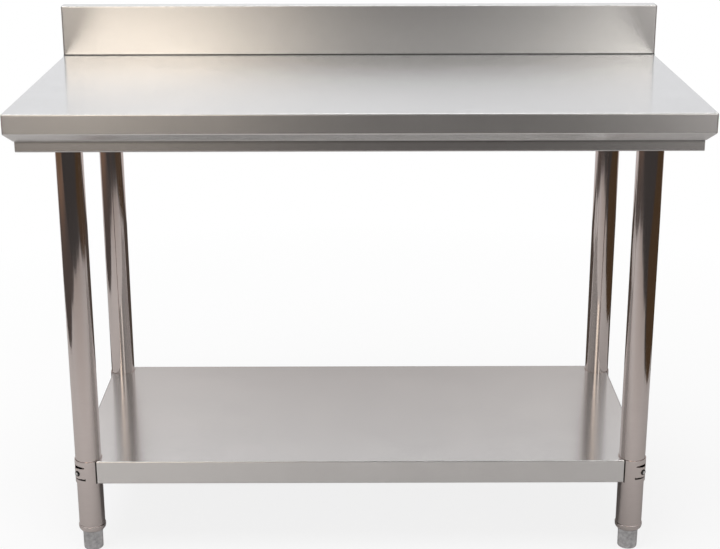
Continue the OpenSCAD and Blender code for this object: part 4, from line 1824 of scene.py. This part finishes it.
@dataclass
class Room:
    """Cards out of view, which the metal mirrors as a darker room round a pale patch of floor.

    Attributes:
        half: Half of the room's width.
        front: Place of the front wall.
        back: Place of the back wall.
        tall: Height of the room.
        skirt: Height of the brown foot of the side walls.
        step: Height of the dark foot of the front wall.
        lid: Where the dark roof ends and the bright slot starts.
        slot_end: Where the bright slot ends.
        left: Left edge of the patch.
        right: Its right edge.
        near: Its near edge.
        patch_level: Height of the patch above the floor.
        patch_fade: Places along Y between which the patch changes its tone.
        ground: Height of the dark cards on the floor.
        back_left: Left end of the dark card on the floor behind the table.
        back_start: Where that card starts.
        back_foot: Height at which the pale card at the back starts.
        rear: Place of the grey card close behind the table.
        rear_half: Half of its width.
        rear_foot: Height at which it starts.
        rear_head: Height at which it ends.
        strip_left: Left end of the dark strip along its foot.
        strip_head: Height at which the strip ends.
        strip_gap: How far it stands in front of the card.
    """

    half: float = 3.4
    front: float = -4.6
    back: float = 3.0
    tall: float = 3.2
    skirt: float = 0.55
    step: float = 1.15
    lid: float = -1.05
    slot_end: float = -0.6
    left: float = -1.6
    right: float = 1.35
    near: float = -1.95
    patch_level: float = 0.002
    patch_fade: tuple[float, float] = (-1.8, -0.7)
    ground: float = 0.003
    back_left: float = -0.95
    back_start: float = 0.5
    back_foot: float = 0.9
    rear: float = 0.8
    rear_half: float = 1.5
    rear_foot: float = 0.15
    rear_head: float = 0.78
    strip_left: float = -0.9
    strip_head: float = 0.35
    strip_gap: float = 0.01

    def build(self) -> None:
        """Makes all the cards."""
        dark = even_tone("dark_card", (0.051, 0.0468, 0.0455))
        brown = even_tone("right_brown_card", (0.075, 0.046, 0.024))
        dim = even_tone("back_floor_card", (0.085, 0.068, 0.058))
        cards = self.floor(dark, brown, dim) + self.walls(brown) + self.roof(dark) + self.rear_cards(dim)
        for card in cards:
            card.build()

    def floor(self, dark: Material, brown: Material, dim: Material) -> list[Card]:
        """The pale patch, and the dark cards round it and over its near corners and its back.

        Args:
            dark: Tone in front of the patch and over its near right corner.
            brown: Tone to the right of it.
            dim: Tone behind the table.

        Returns:
            The cards.
        """
        half, front, back, ground = self.half, self.front, self.back, self.ground
        left, right, near = self.left, self.right, self.near
        patch = lit_tone("patch_card", (0.6, 0.578, 0.567), (0.5, 0.452, 0.425), self.patch_fade)
        left_floor = pooled_tone("left_floor_card", (0.085, 0.071, 0.066),
                                 Pool(-half, 0.7, (0.14, 0.076, 0.04)))
        corner = [(0.15, near), (right, near), (right, -0.6), (1.3, -0.6), (1.1, -1.5)]
        beside = [(-half, near), (-0.85, near), (left, -1.15), (left, back), (-half, back)]
        behind = rectangle(self.back_left, right, self.back_start, back)
        return [Card("floor_patch", patch, rectangle(left, right, near, back), self.patch_level),
                Card("front_floor_card", dark, rectangle(-half, half, front, near), ground),
                Card("corner_floor_card", dark, corner, ground),
                Card("left_floor_card", left_floor, beside, ground),
                Card("right_floor_card", brown, rectangle(right, half, near, back), ground),
                Card("back_floor_card", dim, behind, ground)]

    def walls(self, brown: Material) -> list[Card]:
        """The front wall, lit above its foot and mostly at the left, and grey sides over brown.

        Args:
            brown: Tone of the right wall's foot.

        Returns:
            The cards.
        """
        half, ground, skirt, step, tall = self.half, self.ground, self.skirt, self.step, self.tall
        foot = pooled_tone("wall_foot_card", (0.053, 0.046, 0.0445),
                           Pool(-1.75, 0.75, (0.24, 0.212, 0.185)),
                           Pool(2.0, 0.4, (0.78, 0.74, 0.73)))
        lit = pooled_tone("lit_wall_card", (0.46, 0.45, 0.437),
                          Pool(-1.15, 0.70, (2.3, 2.02, 1.68)), Pool(-2.0, 0.45, (0.9, 0.84, 0.78)),
                          Pool(1.75, 0.72, (1.2, 1.16, 1.09)), Pool(1.6, 0.16, (0.6, 0.58, 0.55)))
        left_brown = even_tone("left_brown_card", (0.17, 0.107, 0.065))
        grey = even_tone("side_card", (0.42, 0.412, 0.405))
        across = [(-half, self.front), (half, self.front)]
        left, right = ([(x, self.front), (x, self.back)] for x in (-half, half))
        return [Card("front_foot_card", foot, across, ground, step),
                Card("front_wall_card", lit, across, step, tall),
                Card("left_wall_card", left_brown, left, ground, skirt),
                Card("right_wall_card", brown, right, ground, skirt),
                Card("left_side_card", grey, left, skirt, tall),
                Card("right_side_card", grey, right, skirt, tall)]

    def roof(self, dark: Material) -> list[Card]:
        """A dark roof with a bright slot behind it.

        Args:
            dark: Tone of the roof.

        Returns:
            The cards.
        """
        bright = even_tone("bright_card", (4.0, 4.0, 4.0))
        lid = rectangle(-self.half, self.half, self.front, self.lid)
        slot = rectangle(-self.half, self.half, self.lid, self.slot_end)
        return [Card("front_roof_card", dark, lid, self.tall), Card("ceiling_card", bright, slot, self.tall)]

    def rear_cards(self, dim: Material) -> list[Card]:
        """A pale card far behind the table, and a grey one close behind it with a dark low strip.

        Args:
            dim: Tone of the strip.

        Returns:
            The cards.
        """
        pale = pooled_tone("behind_card", (0.888, 0.9, 0.93), Pool(-0.35, 1.0, (0.12, 0.12, 0.115)))
        grey = pooled_tone("grey_card", (0.6, 0.561, 0.55), Pool(-0.6, 0.33, (0.15, 0.142, 0.138)),
                           Pool(0.55, 0.3, (0.07, 0.068, 0.065)))
        far = [(-self.half, self.back), (self.half, self.back)]
        close = [(-self.rear_half, self.rear), (self.rear_half, self.rear)]
        before = self.rear - self.strip_gap
        strip = [(self.strip_left, before), (self.rear_half, before)]
        return [Card("back_card", pale, far, self.back_foot, self.tall),
                Card("rear_card", grey, close, self.rear_foot, self.rear_head),
                Card("rear_low_card", dim, strip, self.rear_foot, self.strip_head)]


@dataclass
class Studio:
    """Background, floor, cards, lamp and camera.

    Attributes:
        eye: Place of the camera.
        pitch: How far it looks down, in degrees.
        yaw: How far it turns to the left, in degrees.
        roll: How far it leans, in degrees.
        focal_pixels: Focal length, in pixels of the image.
        image_width: Width of the image, in pixels.
        sensor_width: Width of the sensor, in millimetres.
        sight: How far the camera sees.
        fill: Strength of the background on plain surfaces.
        floor_half: Half of the floor's width.
        floor_tone: Tone of the floor.
        floor_white: Share of plain white in it, close to the table and far from it.
        floor_fade: Distances from the table's middle between which that share grows.
        lamp_power: Power of the lamp overhead, in watts.
        lamp_width: Width and depth of the lamp.
        lamp_place: Place of the lamp.
    """

    eye: tuple[float, float, float] = (-0.0040, -2.7533, 1.3697)
    pitch: float = 18.105
    yaw: float = -0.09
    roll: float = -0.11
    focal_pixels: float = 1495.4
    image_width: float = 720.0
    sensor_width: float = 36.0
    sight: float = 60.0
    fill: float = 0.35
    floor_half: float = 14.0
    floor_tone: Colour = (0.9, 0.9, 0.9)
    floor_white: tuple[float, float] = (0.84, 1.0)
    floor_fade: tuple[float, float] = (0.6, 2.0)
    lamp_power: float = 92.0
    lamp_width: float = 3.0
    lamp_place: tuple[float, float, float] = (-0.5, -0.4, 3.15)

    def build(self) -> None:
        """Makes everything round the table."""
        self.world()
        self.floor()
        Room().build()
        self.lamp()
        self.camera()
        bpy.context.scene.view_settings.view_transform = "Standard"

    def world(self) -> None:
        """A white background, which lights plain surfaces at a lower level than it shows."""
        world = bpy.data.worlds.new("white_room")
        bpy.context.scene.world = world
        world.use_nodes = True
        world.node_tree.nodes.clear()
        shader = Shader(world.node_tree)
        path = shader.add("ShaderNodeLightPath").outputs
        seen = shader.math("MAXIMUM", path["Is Camera Ray"], path["Is Glossy Ray"])
        seen = shader.math("MAXIMUM", seen, path["Is Transmission Ray"])
        fill = shader.light("ShaderNodeBackground", WHITE, self.fill)
        white = shader.light("ShaderNodeBackground", WHITE)
        shader.join(shader.mix(seen, fill, white), shader.add("ShaderNodeOutputWorld").inputs[0])

    def floor(self) -> None:
        """A pale floor that keeps the table's shadow and runs out into white."""
        coat = Coat("pale_floor")
        coat.fix({**MATTE, "Base Color": (*self.floor_tone, 1.0)})
        away = coat.vector("LENGTH", coat.place())
        share = coat.spread(away, *self.floor_white, *self.floor_fade)
        white = coat.light("ShaderNodeEmission", WHITE)
        coat.show(coat.mix(share, coat.principled.outputs[0], white))
        half = self.floor_half
        corners = [(*place, 0.0) for place in rectangle(-half, half, -half, half)]
        stage_sheet("floor", corners, coat.material)

    def lamp(self) -> None:
        """One broad lamp overhead, a little to the left, which the metal doesn't mirror."""
        light = bpy.data.lights.new("overhead", "AREA")
        light.shape = "RECTANGLE"
        light.size = light.size_y = self.lamp_width
        light.energy = self.lamp_power
        lamp = bpy.data.objects.new("overhead", light)
        lamp.visible_glossy = False
        lamp.location = self.lamp_place
        bpy.context.scene.collection.objects.link(lamp)

    def camera(self) -> None:
        """Sets the camera where the photograph was taken."""
        data = bpy.data.cameras.new("photo_view")
        data.sensor_fit = "HORIZONTAL"
        data.sensor_width = self.sensor_width
        data.lens = self.focal_pixels / self.image_width * self.sensor_width
        data.clip_end = self.sight
        camera = bpy.data.objects.new("photo_view", data)
        bpy.context.scene.collection.objects.link(camera)
        turns = ((self.yaw, "Z"), (90 - self.pitch, "X"), (self.roll, "Z"))
        left, down, lean = (Matrix.Rotation(math.radians(angle), 4, axis) for angle, axis in turns)
        camera.matrix_world = Matrix.Translation(self.eye) @ (left @ down @ lean)
        bpy.context.scene.camera = camera


def main() -> None:
    """Builds the table in order, then the studio."""
    logging.basicConfig(level=logging.INFO, format="%(name)s: %(message)s")
    finishes = {slot: finish.build() for slot, finish in FINISHES.items()}
    Worktop(finishes[Slot.SATIN]).build()
    RailFrame(RAIL_FINISH.build(), finishes[Slot.GALVANISED]).build()
    Legs(finishes[Slot.POLISHED]).build()
    Feet(finishes[Slot.POLISHED], finishes[Slot.NYLON], finishes[Slot.ZINC]).build()
    Undershelf(finishes[Slot.SATIN], finishes[Slot.GALVANISED]).build()
    Collars(COLLAR_FINISH.build(), SCREW_FINISH.build()).build()
    HiddenPieces(finishes).dress()
    Studio().build()


if __name__ == "__main__":
    main()
